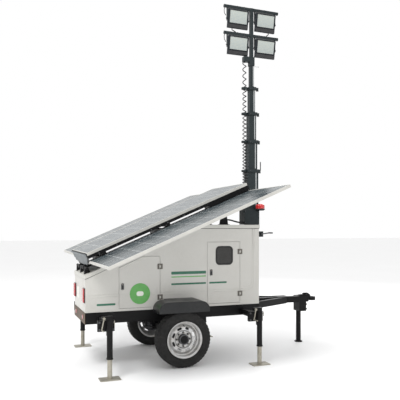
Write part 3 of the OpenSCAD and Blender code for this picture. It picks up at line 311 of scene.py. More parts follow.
class Piece:
    """One visible piece, built up from beveled blocks, turned shapes, plates and tubes."""

    def __init__(self, name, *materials):
        self.name = name
        self.materials = list(materials)
        self.mesh = bmesh.new()
        self.uv = self.mesh.loops.layers.uv.new("UVMap")
        self.space = Matrix.Identity(4)

    def _paint(self, faces, material, smooth=False):
        if material not in self.materials:
            self.materials.append(material)
        for face in faces:
            face.material_index = self.materials.index(material)
            face.smooth = smooth

    def _place(self, verts, matrix=None):
        bmesh.ops.transform(self.mesh, verts=verts, matrix=self.space @ (matrix or Matrix()))

    def block(self, lo, hi, material, bevel=0.001, segments=2):
        """A box between two corners with rounded edges."""
        lo, hi = Vector(lo), Vector(hi)
        made = bmesh.ops.create_cube(self.mesh, size=1.0)["verts"]
        size = hi - lo
        bmesh.ops.transform(self.mesh, verts=made, matrix=Matrix.Translation((lo + hi) / 2)
                            @ Matrix.Diagonal((*size, 1)))
        edges = once(e for v in made for e in v.link_edges)
        faces = once(f for v in made for f in v.link_faces)
        width = min(bevel, 0.45 * min(size))
        if width > 0:
            done = bmesh.ops.bevel(self.mesh, geom=made + edges, offset=width, segments=segments,
                                   affect="EDGES", profile=0.5)
            faces = once(f for v in done["verts"] for f in v.link_faces)
        self._place(once(v for f in faces for v in f.verts))
        self._paint(faces, material)
        return self

    def turned(self, profile, material, matrix=None, segments=48, smooth=True, radius=None):
        """A profile of (radius, height) points turned round Z. radius(k, i) can alter a point."""
        rings = []
        for k, angle in enumerate(turn_angles(segments)):
            ring = []
            for i, (r, z) in enumerate(profile):
                r = radius(k, i, r) if radius else r
                ring.append(self.mesh.verts.new((r * math.cos(angle), r * math.sin(angle), z)))
            rings.append(ring)
        faces = []
        for k in range(segments):
            a, b = rings[k], rings[(k + 1) % segments]
            for i in range(len(profile) - 1):
                faces.append(self.mesh.faces.new((a[i], b[i], b[i + 1], a[i + 1])))
        verts = [v for ring in rings for v in ring]
        self._place(verts, matrix)
        self._paint(faces, material, smooth)
        bmesh.ops.remove_doubles(self.mesh, verts=verts, dist=1e-6)
        return self

    def disc_bar(self, radius, length, material, matrix=None, segments=24, chamfer=0.001):
        """A closed bar along Z with chamfered ends."""
        c = min(chamfer, 0.4 * radius, 0.4 * length)
        profile = [(0.0, 0), (radius - c, 0), (radius, c), (radius, length - c),
                   (radius - c, length), (0.0, length)]
        return self.turned(profile, material, matrix, segments, smooth=segments > 8)

    def plate(self, outline, thickness, material, matrix=None, bevel=0.0006):
        """A flat plate from an outline in X and Y, with its top edge eased."""
        low = [self.mesh.verts.new((x, y, 0)) for x, y in outline]
        high = [self.mesh.verts.new((x, y, thickness)) for x, y in outline]
        count = len(outline)
        faces = [self.mesh.faces.new(high), self.mesh.faces.new(low[::-1])]
        for i in range(count):
            k = (i + 1) % count
            faces.append(self.mesh.faces.new((low[i], low[k], high[k], high[i])))
        verts = low + high
        if bevel:
            rim = list(faces[0].edges)
            done = bmesh.ops.bevel(self.mesh, geom=rim, offset=bevel, segments=2,
                                   affect="EDGES", profile=0.5)
            faces = once(f for v in low + done["verts"] for f in v.link_faces)
            verts = once(v for f in faces for v in f.verts)
        self._place(verts, matrix)
        self._paint(faces, material)
        return self

    def ring_sweep(self, profile, corners, material, matrix=None):
        """A closed profile of (inset, height) swept round a closed outline of (point, inward)."""
        loops = []
        for inset, height in profile:
            loops.append([self.mesh.verts.new((p[0] + d[0] * inset, p[1] + d[1] * inset, height))
                          for p, d in corners])
        faces = []
        for i in range(len(profile)):
            a, b = loops[i], loops[(i + 1) % len(profile)]
            for k in range(len(corners)):
                m = (k + 1) % len(corners)
                faces.append(self.mesh.faces.new((a[k], a[m], b[m], b[k])))
        self._place([v for loop in loops for v in loop], matrix)
        self._paint(faces, material)
        return self

    def quad(self, lo, hi, z, material, matrix=None, flip=False):
        """A rectangle with UV from 0 to 1."""
        points = [(lo[0], lo[1]), (hi[0], lo[1]), (hi[0], hi[1]), (lo[0], hi[1])]
        uvs = [(0, 0), (1, 0), (1, 1), (0, 1)]
        verts = [self.mesh.verts.new((*p, z)) for p in points]
        face = self.mesh.faces.new(verts)
        for loop, uv in zip(face.loops, uvs):
            loop[self.uv].uv = uv
        if flip:
            face.normal_flip()
        self._place(verts, matrix)
        self._paint([face], material)
        return self

    def tube(self, path, radius, material, sides=10):
        """A round tube along a path, with closed ends."""
        path = [Vector(p) for p in path]
        side = None
        rings = []
        for i, point in enumerate(path):
            ahead = path[min(i + 1, len(path) - 1)] - path[max(i - 1, 0)]
            ahead.normalize()
            if side is None:
                side = ahead.orthogonal().normalized()
            side = (side - ahead * side.dot(ahead)).normalized()
            other = ahead.cross(side)
            rings.append([self.mesh.verts.new(point + radius * (side * math.cos(a)
                                                                + other * math.sin(a)))
                          for a in turn_angles(sides)])
        faces = []
        for a, b in zip(rings, rings[1:]):
            for k in range(sides):
                m = (k + 1) % sides
                faces.append(self.mesh.faces.new((a[k], a[m], b[m], b[k])))
        ends = [self.mesh.faces.new(rings[0][::-1]), self.mesh.faces.new(rings[-1])]
        self._place([v for ring in rings for v in ring])
        self._paint(faces, material, True)
        self._paint(ends, material)
        return self

    def bolt(self, at, axis, radius, material, head=0.006):
        """A washer and a six-sided head standing on a face; axis points away from the face."""
        where = along(axis, at)
        self.disc_bar(radius * 1.45, 0.0015, material, where, 24, 0.0003)
        self.disc_bar(radius, head, material, where @ move(0, 0, 0.0012), 6, 0.0006)
        return self

    def finish(self, body=None, slot=None, replaces=()):
        bmesh.ops.recalc_face_normals(self.mesh, faces=self.mesh.faces)
        data = bpy.data.meshes.new(self.name)
        self.mesh.to_mesh(data)
        self.mesh.free()
        for material in self.materials:
            data.materials.append(material)
        made = add_object(self.name, data)
        if replaces:
            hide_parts(*replaces)
        if body:
            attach(made, body)
        return made


def along(axis, at=(0, 0, 0)):
    """A matrix that turns Z to axis and moves to at."""
    turn = Vector((0, 0, 1)).rotation_difference(Vector(axis)).to_matrix().to_4x4()
    return Matrix.Translation(at) @ turn


def facing_side(side, y):
    """Drawing plane on a side wall: its Y is up and its Z points out of the wall."""
    if side < 0:
        return Matrix(((1, 0, 0, 0), (0, 0, -1, y), (0, 1, 0, 0), (0, 0, 0, 1)))
    return Matrix(((-1, 0, 0, 0), (0, 0, 1, y), (0, 1, 0, 0), (0, 0, 0, 1)))


def round_rect(w, h, r, steps=6):
    points = []
    for cx, cy, start in ((1, 1, 0), (-1, 1, 90), (-1, -1, 180), (1, -1, 270)):
        for i in range(steps + 1):
            a = math.radians(start + 90 * i / steps)
            points.append((cx * (w / 2 - r) + r * math.cos(a), cy * (h / 2 - r) + r * math.sin(a)))
    return points


def disc(radius, steps=48):
    return [(radius * math.cos(a), radius * math.sin(a)) for a in turn_angles(steps)]


def inward(outline):
    """Each point of a convex outline about the origin with its inward direction."""
    found = []
    count = len(outline)
    for i, p in enumerate(outline):
        a, b = Vector(outline[i - 1]), Vector(outline[(i + 1) % count])
        edge = (b - a).normalized()
        normal = Vector((-edge.y, edge.x))
        if normal.dot(Vector(p)) > 0:
            normal = -normal
        found.append((p, normal))
    return found


# ---- camera and cords ----

CAMERA_BACK = 1.925
CAMERA_SIDE = 6.05
CAMERA_HEIGHT = 1.47
CAMERA_TURN = math.radians(21.3)
CAMERA_LENS = 49.05
CAMERA_SHIFT = 0.07


def make_camera():
    data = bpy.data.cameras.new("camera")
    data.sensor_width = 36.0
    data.lens = CAMERA_LENS
    data.shift_y = CAMERA_SHIFT
    made = add_object("camera", data)
    made.location = (AXLE_X - CAMERA_BACK, -CAMERA_SIDE, CAMERA_HEIGHT)
    made.rotation_euler = (math.radians(90), 0, -CAMERA_TURN)
    bpy.context.scene.camera = made


COIL_LO, COIL_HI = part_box("mast_cable")
COIL_X = middle_x("mast_cable")
CORD_D = 0.011
COIL_R = (COIL_HI.x - COIL_LO.x) / 2 - CORD_D / 2 - 0.0005
COIL_PITCH = [0.034, 0.040, 0.046, 0.060, 0.080]
COLLAR_RING_DROP = 0.018


def coil_path(z0, z1, pitch):
    """The points of a helix from z0 to z1 with a whole number of turns; it starts at its rear."""
    turns = max(3, round((z1 - z0) / pitch))
    steps = turns * 20
    path = []
    for i in range(steps + 1):
        a = 2 * math.pi * (0.5 + turns * i / steps)
        path.append((COIL_X + COIL_R * math.cos(a), COIL_R * math.sin(a),
                     z0 + (z1 - z0) * i / steps))
    return path


def make_mast_cable():
    """One helix for each stretch between guide rings; the lowest rides on the trailer and the
    others stay where they are built.
    """
    levels = [COIL_LO.z] + [z - COLLAR_RING_DROP for z in SECTION_TOP[:4]] + [COIL_HI.z]
    bodies = ["trailer", "trailer"] + [f"mast_section_{i}" for i in range(2, 6)]
    for i in range(5):
        z0, z1 = levels[i], levels[i + 1]
        path = coil_path(z0, z1, COIL_PITCH[i])
        piece = Piece(f"mast_cable_{i + 1}", CABLE).tube(path, CORD_D / 2, CABLE, 8)
        made = piece.finish(slot="cable_rubber", replaces=["mast_cable"])
        if bodies[i] == bodies[i + 1]:
            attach(made, bodies[i])
        else:
            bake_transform(made)


make_camera()
make_mast_cable()


# ---- CAD nodes that keep their shape ----

KEPT = {
    BLACK: ["chassis_frame", "drawbar_frame", "tow_eye", "axle_beam", "leaf_springs",
            "outrigger_sleeves", "prop_clamp", "prop_leg", "panel_mounts", "panel_rack"]
    + [f"jack_tube_{k}" for k in JACKS],
    BLACK_FENDER: ["fenders"],
    WHITE: ["cabinet_shell"] + [f"door_{e}_{s}" for e in ("rear", "front") for s in SIDES],
    ROOF_WHITE: ["cabinet_roof"],
    HINGE_STEEL: ["door_hinges"],
    DARK_METAL: ["hub_right", "hub_left", "winch_crank"],
    BATTERY: ["battery_bank"],
    CONTROL: ["control_box"],
    CABLE: ["roof_cable"],
    MAST: ["mast_housing", "winch_body", "lamp_frame"]
    + [f"mast_section_{i}" for i in range(1, 6)],
    RIM: ["rim_right", "rim_left"],
    ZINC: [f"jack_{p}_{k}" for p in ("leg", "crank") for k in JACKS],
}


def paint_kept_nodes():
    """Gives each CAD node its material; turned parts are shaded smooth."""
    for material, names in KEPT.items():
        for name in names:
            data = NODES[name].data
            data.materials.clear()
            data.materials.append(material)
            if material == RIM or name.startswith(("jack_leg", "prop_leg", "hub")):
                smooth_by_angle(NODES[name])


def smooth_by_angle(obj, limit=math.radians(32)):
    """Sets smooth shading on faces and marks sharp edges, without moving a point."""
    mesh = bmesh.new()
    mesh.from_mesh(obj.data)
    sharp = []
    for edge in mesh.edges:
        if len(edge.link_faces) == 2 and edge.calc_face_angle(0) > limit:
            sharp.append(edge.index)
    mesh.free()
    marks = obj.data.attributes.get("sharp_edge") or obj.data.attributes.new(
        "sharp_edge", "BOOLEAN", "EDGE")
    for index in sharp:
        marks.data[index].value = True
    for face in obj.data.polygons:
        face.use_smooth = True


paint_kept_nodes()


# ---- solar panels ----

STACK_S = 0.030
PANEL_LEN, PANEL_W, PANEL_T = 1.956, 0.992, 0.030
PANEL_N = {"panel_right": 0.050, "panel_left": 0.0946, "panel_centre": 0.1392}
FRAME_LIP = 0.011


def make_panel(name, body):
    """Anodised frame of a hooked section, glass over cells, backsheet and junction box."""
    piece = Piece(f"{name}_visual", ALUMINIUM, CELLS, BACKSHEET, BLACK_PLASTIC)
    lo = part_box(name)[0]
    piece.space = RACK @ move(STACK_S + PANEL_LEN / 2, lo.y + PANEL_W / 2, PANEL_N[name])
    half = (PANEL_LEN / 2, PANEL_W / 2)
    corners = [((sx * half[0], sy * half[1]), (-sx, -sy))
               for sx, sy in ((1, 1), (-1, 1), (-1, -1), (1, -1))]
    t = PANEL_T
    section = [(0.0008, 0), (0.028, 0), (0.028, 0.002), (0.002, 0.002), (0.002, t - 0.009),
               (0.010, t - 0.009), (0.010, t - 0.003), (FRAME_LIP, t - 0.003),
               (FRAME_LIP, t - 0.0006), (FRAME_LIP - 0.0006, t), (0.0008, t), (0, t - 0.0008),
               (0, 0.0008)]
    piece.ring_sweep(section, corners, ALUMINIUM)
    inner = (half[0] - FRAME_LIP + 0.0005, half[1] - FRAME_LIP + 0.0005)
    piece.quad((-inner[0], -inner[1]), inner, t - 0.0022, CELLS)
    piece.quad((-inner[0], -inner[1]), inner, t - 0.0065, BACKSHEET, flip=True)
    piece.block((half[0] - 0.26, -0.06, t - 0.026), (half[0] - 0.15, 0.06, t - 0.0066),
                BLACK_PLASTIC, 0.003)
    for s in (-1, 1):
        piece.tube([(half[0] - 0.2, s * 0.05, t - 0.015), (half[0] - 0.22, s * 0.10, t - 0.018),
                    (half[0] - 0.30, s * 0.16, t - 0.020), (half[0] - 0.5, s * 0.2, t - 0.020)],
                   0.003, BLACK_PLASTIC, 8)
    piece.finish(body, "panel", [name])


make_panel("panel_centre", "panel_rack")
make_panel("panel_right", "panel_right")
make_panel("panel_left", "panel_left")


def make_rack_trim():
    """Ribs on the front part of the near rail, its screws, and the grey pan at the rear."""
    piece = Piece("rack_trim", BLACK, DARK_METAL, GREY)
    piece.space = RACK
    y = -PANEL_W / 2
    top = PANEL_N["panel_centre"]
    end = STACK_S + PANEL_LEN
    for k in range(13):
        s = end - 0.50 + k * 0.040
        piece.block((s, y - 0.0045, top - 0.056), (s + 0.014, y + 0.001, top - 0.004), BLACK,
                    0.0015)
    for k in range(7):
        s = STACK_S + 0.12 + k * 0.2
        piece.bolt((s, y, top - 0.022), (0, -1, 0), 0.006, DARK_METAL)
    rear = STACK_S - 0.0075
    outline = [(-0.22, 0.030), (0.22, 0.030), (0.34, 0.052), (0.46, 0.118), (0.485, 0.164),
               (-0.485, 0.164), (-0.46, 0.118), (-0.34, 0.052)]
    plane = Matrix(((0, 0, -1, rear), (1, 0, 0, 0), (0, 1, 0, -0.006), (0, 0, 0, 1)))
    piece.plate(outline, 0.003, GREY, plane, 0.0008)
    piece.block((rear - 0.020, -0.485, 0.150), (rear - 0.001, 0.485, 0.153), GREY, 0.0008)
    for x in (-0.2, 0.2):
        piece.bolt((rear - 0.003, x, 0.030), (-1, 0, 0), 0.006, DARK_METAL)
    piece.finish("panel_rack", "black_steel")


make_rack_trim()


# ---- wheels ----


def make_tyre(side):
    """Carcass with shoulders, sidewall ribs, four grooves and cross-cut tread blocks."""
    name = f"tyre_{side}"
    lo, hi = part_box(name)
    centre = (lo + hi) / 2
    radius = (hi.z - lo.z) / 2
    half = (hi.y - lo.y) / 2
    groove = 0.007
    bead = radius - 0.117
    # From the bead up the side wall: (height above the bead, share of the half width)
    wall = [(0, 0.82), (0.012, 0.93), (0.020, 0.96), (0.022, 0.93), (0.034, 0.975), (0.055, 1),
            (0.060, 0.985), (0.078, 0.985), (0.083, 0.97)]
    profile = [(bead + rise, half * share) for rise, share in wall]
    profile.append((radius - 0.014, half * 0.90))
    shoulder = [(radius - 0.004, half * 0.83), (radius - 0.0025, half * 0.68)]
    # Across the tread: (share of the half width, 1 at the foot of a groove)
    marks = [(0.66, 0), (0.64, 1), (0.56, 1), (0.54, 0),
             (0.24, 0), (0.22, 1), (0.14, 1), (0.12, 0)]
    right = profile + shoulder + [(radius - 0.001 - (groove if deep else 0), half * share)
                                  for share, deep in marks]
    left = [(r, -y) for r, y in reversed(right)]
    full = right + left
    blocks = {i for i, (r, y) in enumerate(full) if abs(y) > half * 0.5 and r > radius - 0.016}
    middle = {i for i, (r, y) in enumerate(full) if abs(y) < half * 0.25 and r > radius - 0.003}

    def cut(k, i, r):
        if i in blocks and k % 4 == 0:
            return r - 0.006
        if i in middle and k % 6 == 3:
            return r - 0.004
        return r

    piece = Piece(f"{name}_visual", TYRE)
    piece.turned(full, TYRE, along((0, 1, 0), centre), 192, smooth=False, radius=cut)
    piece.finish(f"wheel_{side}", "tyre", [name])


def make_wheel_trim(side):
    """Hub cap, eight stud ends and the valve on the outer side."""
    s = SIDES[side]
    lo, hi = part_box(f"tyre_{side}")
    centre = (lo + hi) / 2
    piece = Piece(f"wheel_trim_{side}", BLACK, BLACK_PLASTIC, ZINC)
    out = along((0, s, 0), centre)
    cap = [(0.0, 0.066), (0.026, 0.0655), (0.040, 0.0635), (0.049, 0.058), (0.0545, 0.048),
           (0.0546, 0.030)]
    piece.turned(cap, BLACK, out, 40)
    for i in range(8):
        a = math.radians(45 * i)
        at = centre + Vector((0.072 * math.cos(a), s * 0.044, 0.072 * math.sin(a)))
        piece.disc_bar(0.0055, 0.010, ZINC, along((0, s, 0), at), 12)
    valve = centre + Vector((0.0, s * 0.030, 0.150))
    bend = [(0, 0), (0.014, -0.004), (0.030, -0.012)]
    piece.tube([valve + Vector((0, s * y, z)) for y, z in bend], 0.004, BLACK_PLASTIC, 8)
    piece.finish(f"wheel_{side}", "hub")


for side_name in SIDES:
    make_tyre(side_name)
    make_wheel_trim(side_name)


# ---- cabinet: beads, painted shadow strip under the roof lip, decals, windows, latches and lamps ----

ROOF_KNEE = AXLE_X + 0.220
ROOF_SLOPE = math.tan(math.radians(23.7))
BEAD_Z = (0.770, 0.745)
BEAD_R = 0.0045
DOOR_X = {"rear": (AXLE_X - 0.626, AXLE_X - 0.175), "front": (AXLE_X + 0.383, AXLE_X + 0.786)}
DOOR_FOOT = 0.616
DOOR_TOP = {"rear": 0.588 + 0.575, "front": 0.588 + 0.722}
# Hinges: pin behind the door's front edge, leaf middles either side of the pin, screws on a leaf
HINGE_PIN = 0.0015
HINGE_LEAF = 0.0195
HINGE_SCREWS = (-0.019, 0.0, 0.019)
HINGE_Z = {end: (DOOR_FOOT + 0.102, top - 0.111) for end, top in DOOR_TOP.items()}
SWAGE_X = AXLE_X + 0.946
SWAGE_R = 0.105


def make_beads():
    """Pressed lines along both sides; a stretch that crosses a door rides on that door."""
    gap = 0.004
    for side, s in SIDES.items():
        y = s * (CAB_HALF - 0.0022)
        stretches = [("trailer", CAB_LO.x + 0.012, DOOR_X["rear"][0] - gap),
                     (f"door_rear_{side}", DOOR_X["rear"][0] + gap, DOOR_X["rear"][1] - gap),
                     ("trailer", DOOR_X["rear"][1] + gap, DOOR_X["front"][0] - gap),
                     (f"door_front_{side}", DOOR_X["front"][0] + gap, DOOR_X["front"][1] - gap)]
        for k, (body, x0, x1) in enumerate(stretches):
            piece = Piece(f"bead_{side}_{k + 1}", WHITE)
            for z in BEAD_Z:
                piece.tube([(x0, y, z), (x0 + 0.004, y, z), (x1 - 0.004, y, z), (x1, y, z)],
                           BEAD_R, WHITE, 10)
            piece.finish(body, "cabinet_paint")
        piece = Piece(f"corner_swage_{side}", WHITE)
        for z, x in zip(BEAD_Z, (SWAGE_X, SWAGE_X + 0.022)):
            curve = [(x - SWAGE_R + SWAGE_R * math.sin(a), y, z + SWAGE_R - SWAGE_R * math.cos(a))
                     for a in [math.radians(90 * i / 10) for i in range(11)]]
            piece.tube([(DOOR_X["front"][1] + 0.012, y, z)] + curve + [(x, y, CAB_HI.z - 0.042)],
                       BEAD_R, WHITE, 10)
        piece.finish("trailer", "cabinet_paint")


def make_roof_lip_shadow_strip():
    """Dark strip under the roof cover's lip, along all four walls: a painted shadow where the gap
    under the lip is shaded.
    """
    piece = Piece("roof_lip_shadow_strip", SEAL_AND_SHADOW_RUBBER)
    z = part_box("cabinet_roof")[1].z - 0.0425
    rear_z = z - (ROOF_KNEE - CAB_LO.x) * ROOF_SLOPE
    for s in (-1, 1):
        y = s * (CAB_HALF + 0.0012)
        piece.tube([(CAB_LO.x, y, rear_z), (ROOF_KNEE, y, z), (CAB_HI.x, y, z)], 0.0028, SEAL_AND_SHADOW_RUBBER, 6)
    for x, level in ((CAB_LO.x - 0.0012, rear_z), (CAB_HI.x + 0.0012, z)):
        piece.tube([(x, -CAB_HALF, level), (x, CAB_HALF, level)], 0.0028, SEAL_AND_SHADOW_RUBBER, 6)
    piece.finish("trailer", "cable_rubber")


def stripe(piece, x, z, size, material, corner=0.005, steps=3):
    """A flat printed stripe on the right wall, centred at x from the axle and at height z."""
    where = facing_side(-1, -CAB_HALF) @ move(AXLE_X + x, z, 0.0)
    piece.plate(round_rect(*size, corner, steps), 0.0006, material, where, 0.0)


def make_decals():
    """Plain green shapes where a maker's graphics would be; no lettering."""
    plane = facing_side(-1, -CAB_HALF)
    piece = Piece("decal_disc", GREEN, WHITE_DECAL)
    centre = plane @ move(AXLE_X - 0.399, 0.765, 0.0004)
    piece.plate(disc(0.112, 64), 0.0030, GREEN, centre, 0.0004)
    piece.plate(round_rect(0.078, 0.050, 0.022), 0.0034, WHITE_DECAL, centre, 0.0003)
    piece.finish("door_rear_right", "cabinet_paint")
    piece = Piece("decal_bands", DEEP_GREEN, GREEN)
    stripe(piece, 0.160, 0.974, (0.410, 0.032), DEEP_GREEN)
    stripe(piece, 0.160, 0.931, (0.410, 0.012), GREEN)
    stripe(piece, 0.160, 0.852, (0.410, 0.020), DEEP_GREEN)
    stripe(piece, -0.765, 0.665, (0.200, 0.022), DEEP_GREEN, 0.010, 4)
    piece.finish("trailer", "cabinet_paint")
    piece = Piece("decal_bands_door", DEEP_GREEN)
    stripe(piece, 0.5125, 0.852, (0.215, 0.020), DEEP_GREEN)
    piece.finish("door_front_right", "cabinet_paint")


def make_window(side):
    """Tinted pane in a rubber profile with its locking strip."""
    s = SIDES[side]
    lo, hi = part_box(f"window_{side}")
    middle = (lo + hi) / 2
    size = hi.x - lo.x
    plane = facing_side(s, s * CAB_HALF) @ move(-s * middle.x, middle.z, 0)
    piece = Piece(f"window_{side}_visual", WINDOW, SEAL_AND_SHADOW_RUBBER)
    piece.plate(round_rect(size - 0.030, size - 0.030, 0.038, 8), 0.003, WINDOW,
                plane @ move(0, 0, -0.003), 0.0005)
    section = [(0.0, 0.0), (0.001, 0.0030), (0.004, 0.0040), (0.008, 0.0034), (0.0095, 0.0022),
               (0.011, 0.0034), (0.016, 0.0036), (0.0195, 0.0020), (0.0195, -0.004),
               (0.0, -0.0005)]
    piece.ring_sweep(section, inward(round_rect(size, size, 0.050, 8)), SEAL_AND_SHADOW_RUBBER, plane)
    piece.finish(f"door_front_{side}", "window_glass", [f"window_{side}"])


def make_door_trim(end, side):
    """Paddle latch with its lock barrel, and the door's hinge leaves with screws."""
    s = SIDES[side]
    x0, x1 = DOOR_X[end]
    latch_x = x0 + (0.036 if end == "rear" else 0.046)
    latch_z = DOOR_FOOT + (0.232 if end == "rear" else 0.352)
    piece = Piece(f"door_trim_{end}_{side}", DARK_METAL, BLACK_PLASTIC, ZINC, HINGE_STEEL)
    plane = facing_side(s, s * CAB_HALF)
    at = plane @ move(-s * latch_x, latch_z, 0)
    piece.plate(round_rect(0.028, 0.070, 0.008), 0.0052, DARK_METAL, at, 0.001)
    piece.plate(round_rect(0.016, 0.044, 0.006), 0.0148, BLACK_PLASTIC, at @ move(0, -0.006, 0),
                0.002)
    piece.disc_bar(0.0050, 0.0075, ZINC, at @ move(0, 0.026, 0), 20)
    for z in HINGE_Z[end]:
        hinge = plane @ move(-s * (x1 + HINGE_PIN - HINGE_LEAF), z, 0)
        piece.plate(round_rect(0.021, 0.059, 0.002, 2), 0.0036, HINGE_STEEL, hinge, 0.0006)
        for dz in HINGE_SCREWS:
            piece.disc_bar(0.0042, 0.0050, DARK_METAL, hinge @ move(0, dz, 0), 14)
    piece.finish(f"door_{end}_{side}", "hinge_metal")


def make_fixed_hinge_screws():
    """Screws in the hinge leaves that stay on the cabinet."""
    piece = Piece("hinge_screws", DARK_METAL)
    for s in SIDES.values():
        plane = facing_side(s, s * CAB_HALF)
        for end in DOOR_X:
            x = DOOR_X[end][1] + HINGE_PIN + HINGE_LEAF
            for z in HINGE_Z[end]:
                for dz in HINGE_SCREWS:
                    at = plane @ move(-s * x, z + dz, 0)
                    piece.disc_bar(0.0042, 0.0048, DARK_METAL, at, 14)
    piece.finish("trailer", "hinge_metal")


def make_tail_lamps():
    """Black base and ribbed red lens on both rear corners."""
    piece = Piece("tail_lamps_visual", RED, BLACK_PLASTIC)
    lo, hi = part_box("tail_lamps")
    width = 0.100
    for s in (-1, 1):
        y0 = hi.y - width if s > 0 else lo.y
        y1 = y0 + width
        piece.block((hi.x - 0.008, y0, lo.z), (hi.x, y1, hi.z), BLACK_PLASTIC, 0.003)
        piece.block((lo.x + 0.002, y0 + 0.004, lo.z + 0.004),
                    (hi.x - 0.007, y1 - 0.004, hi.z - 0.004), RED, 0.006, 3)
        for k in range(9):
            z = lo.z + 0.014 + k * 0.0155
            piece.block((lo.x, y0 + 0.010, z), (lo.x + 0.004, y1 - 0.010, z + 0.006), RED, 0.0015)
    piece.finish("trailer", "red_lens", ["tail_lamps"])


def make_rear_trim():
    """Blank white plate, the brown face of the rear beam and two round reflectors."""
    piece = Piece("rear_trim", WHITE_DECAL, RED, BROWN)
    x = CAB_LO.x
    piece.block((x - 0.003, 0.05, 0.70), (x, 0.17, 0.82), WHITE_DECAL, 0.001)
    frame_lo, frame_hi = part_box("chassis_frame")
    piece.block((x - 0.0045, -CAB_HALF, frame_lo.z), (x - 0.0003, CAB_HALF, frame_hi.z - 0.002),
                BROWN, 0.0015)
    for y in (-0.22, 0.22):
        piece.plate(disc(0.024, 32), 0.005, RED, along((-1, 0, 0), (x - 0.004, y, 0.53)), 0.001)
    piece.finish("trailer", "cabinet_paint")


make_beads()
make_roof_lip_shadow_strip()
make_decals()
for side_name in SIDES:
    make_window(side_name)
    for end_name in DOOR_X:
        make_door_trim(end_name, side_name)
make_fixed_hinge_screws()
make_tail_lamps()
make_rear_trim()


# ---- outriggers, prop and drawbar ----


def make_jack_trim(name):
    """Bracket bolts, head cap, foot ring, T-handled lock pin and crank nut of one outrigger."""
    lo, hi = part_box(f"jack_tube_{name}")
    leg_lo, leg_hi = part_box(f"jack_leg_{name}")
    x = (leg_lo.x + leg_hi.x) / 2
    s = 1 if hi.y > 0.5 else -1
    y = (leg_lo.y + leg_hi.y) / 2
    piece = Piece(f"jack_trim_{name}", BLACK, DARK_METAL, ZINC)
    front = y - s * 0.029
    for dx in (-0.066, 0.066):
        for dz in (-0.036, 0.036):
            piece.bolt((x - 0.028 + dx, front, 0.515 + dz), (0, s, 0), 0.008, DARK_METAL, 0.008)
    piece.disc_bar(0.0305, 0.010, BLACK, move(x, y, hi.z - 0.0098), 40, 0.003)
    piece.turned([(0.0292, 0.0), (0.033, 0.002), (0.033, 0.012), (0.0292, 0.014)], BLACK,
                 move(x, y, lo.z), 40)
    piece.tube([(x + 0.045, front + s * 0.001, 0.545), (x + 0.045, front + s * 0.036, 0.545)],
               0.005, ZINC, 10)
    piece.tube([(x + 0.045, front + s * 0.036, 0.520), (x + 0.045, front + s * 0.036, 0.570)],
               0.004, ZINC, 10)
    piece.finish(f"outrigger_{name}", "black_steel")
    crank = joint_at(f"crank_spin_{name}")
    knob = Piece(f"crank_nut_{name}", ZINC)
    knob.bolt((crank.x, crank.y + s * 0.0075, crank.z), (0, s, 0), 0.008, ZINC, 0.005)
    knob.finish(f"outrigger_{name}", "jack_leg")


def make_drawbar_trim():
    """The four bolts that hold the tow eye on the drawbar."""
    piece = Piece("drawbar_trim", DARK_METAL)
    lo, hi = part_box("tow_eye")
    for dx in (0.03, 0.09):
        for y in (-0.024, 0.024):
            piece.bolt((lo.x + dx, y, hi.z - 0.0225), (0, 0, 1), 0.007, DARK_METAL, 0.008)
    piece.finish("trailer", "black_steel")


for jack_name in JACKS:
    make_jack_trim(jack_name)
make_drawbar_trim()


# ---- mast and lamp head ----


# Thinner than the sliding gap in the collars, so that each painted highlight strip passes through
# them
HIGHLIGHT_STRIP_PROUD = 0.00025
FOOT_WIDTH, WIDTH_STEP = 0.130, 0.020
COLLAR_WALL = 0.012


def make_mast_trim(index):
    """Light strip painted on as the highlight along the section's face, collar screws and the
    coil's guide ring of one mast section.
    """
    top = SECTION_TOP[index - 1]
    half = (FOOT_WIDTH - WIDTH_STEP * (index - 1)) / 2
    piece = Piece(f"mast_trim_{index}", MAST, ROPE_AND_HIGHLIGHT, DARK_METAL, BLACK_PLASTIC)
    if index == 1:
        body, low = "trailer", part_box("mast_section_1")[0].z + 0.02
    else:
        body, low = f"mast_section_{index}", SECTION_TOP[index - 2] + 0.012
    high = top - 0.040 if index < 5 else top - 0.105
    # A thin light strip on the near face of the section: a painted highlight.
    highlight_strip_x = MAST_X + half * 0.42
    piece.block((highlight_strip_x, -half - HIGHLIGHT_STRIP_PROUD, low), (highlight_strip_x + 0.012, -half + 0.001, high), ROPE_AND_HIGHLIGHT,
                HIGHLIGHT_STRIP_PROUD / 2)
    if index < 5:
        outer = half + COLLAR_WALL
        for dx in (-0.6, 0.6):
            for s in (-1, 1):
                piece.bolt((MAST_X + dx * outer, s * outer, top - 0.020), (0, s, 0), 0.0045,
                           DARK_METAL, 0.005)
        for drop in (0.004, 0.039):
            at = move(MAST_X + outer + 0.036, 0, top - drop)
            piece.disc_bar(0.017, 0.005, BLACK_PLASTIC, at, 24)
        piece.turned([(0.0345, -0.030), (0.0385, -0.028), (0.0385, -0.010), (0.0345, -0.008)],
                     MAST, move(COIL_X, 0, top), 32)
    if index == 1:
        at = move(MAST_X + half + 0.062, 0.0, top - 0.002)
        piece.disc_bar(0.006, 0.105, DARK_METAL, at, 16, 0.002)
    piece.finish(body, "mast_paint")


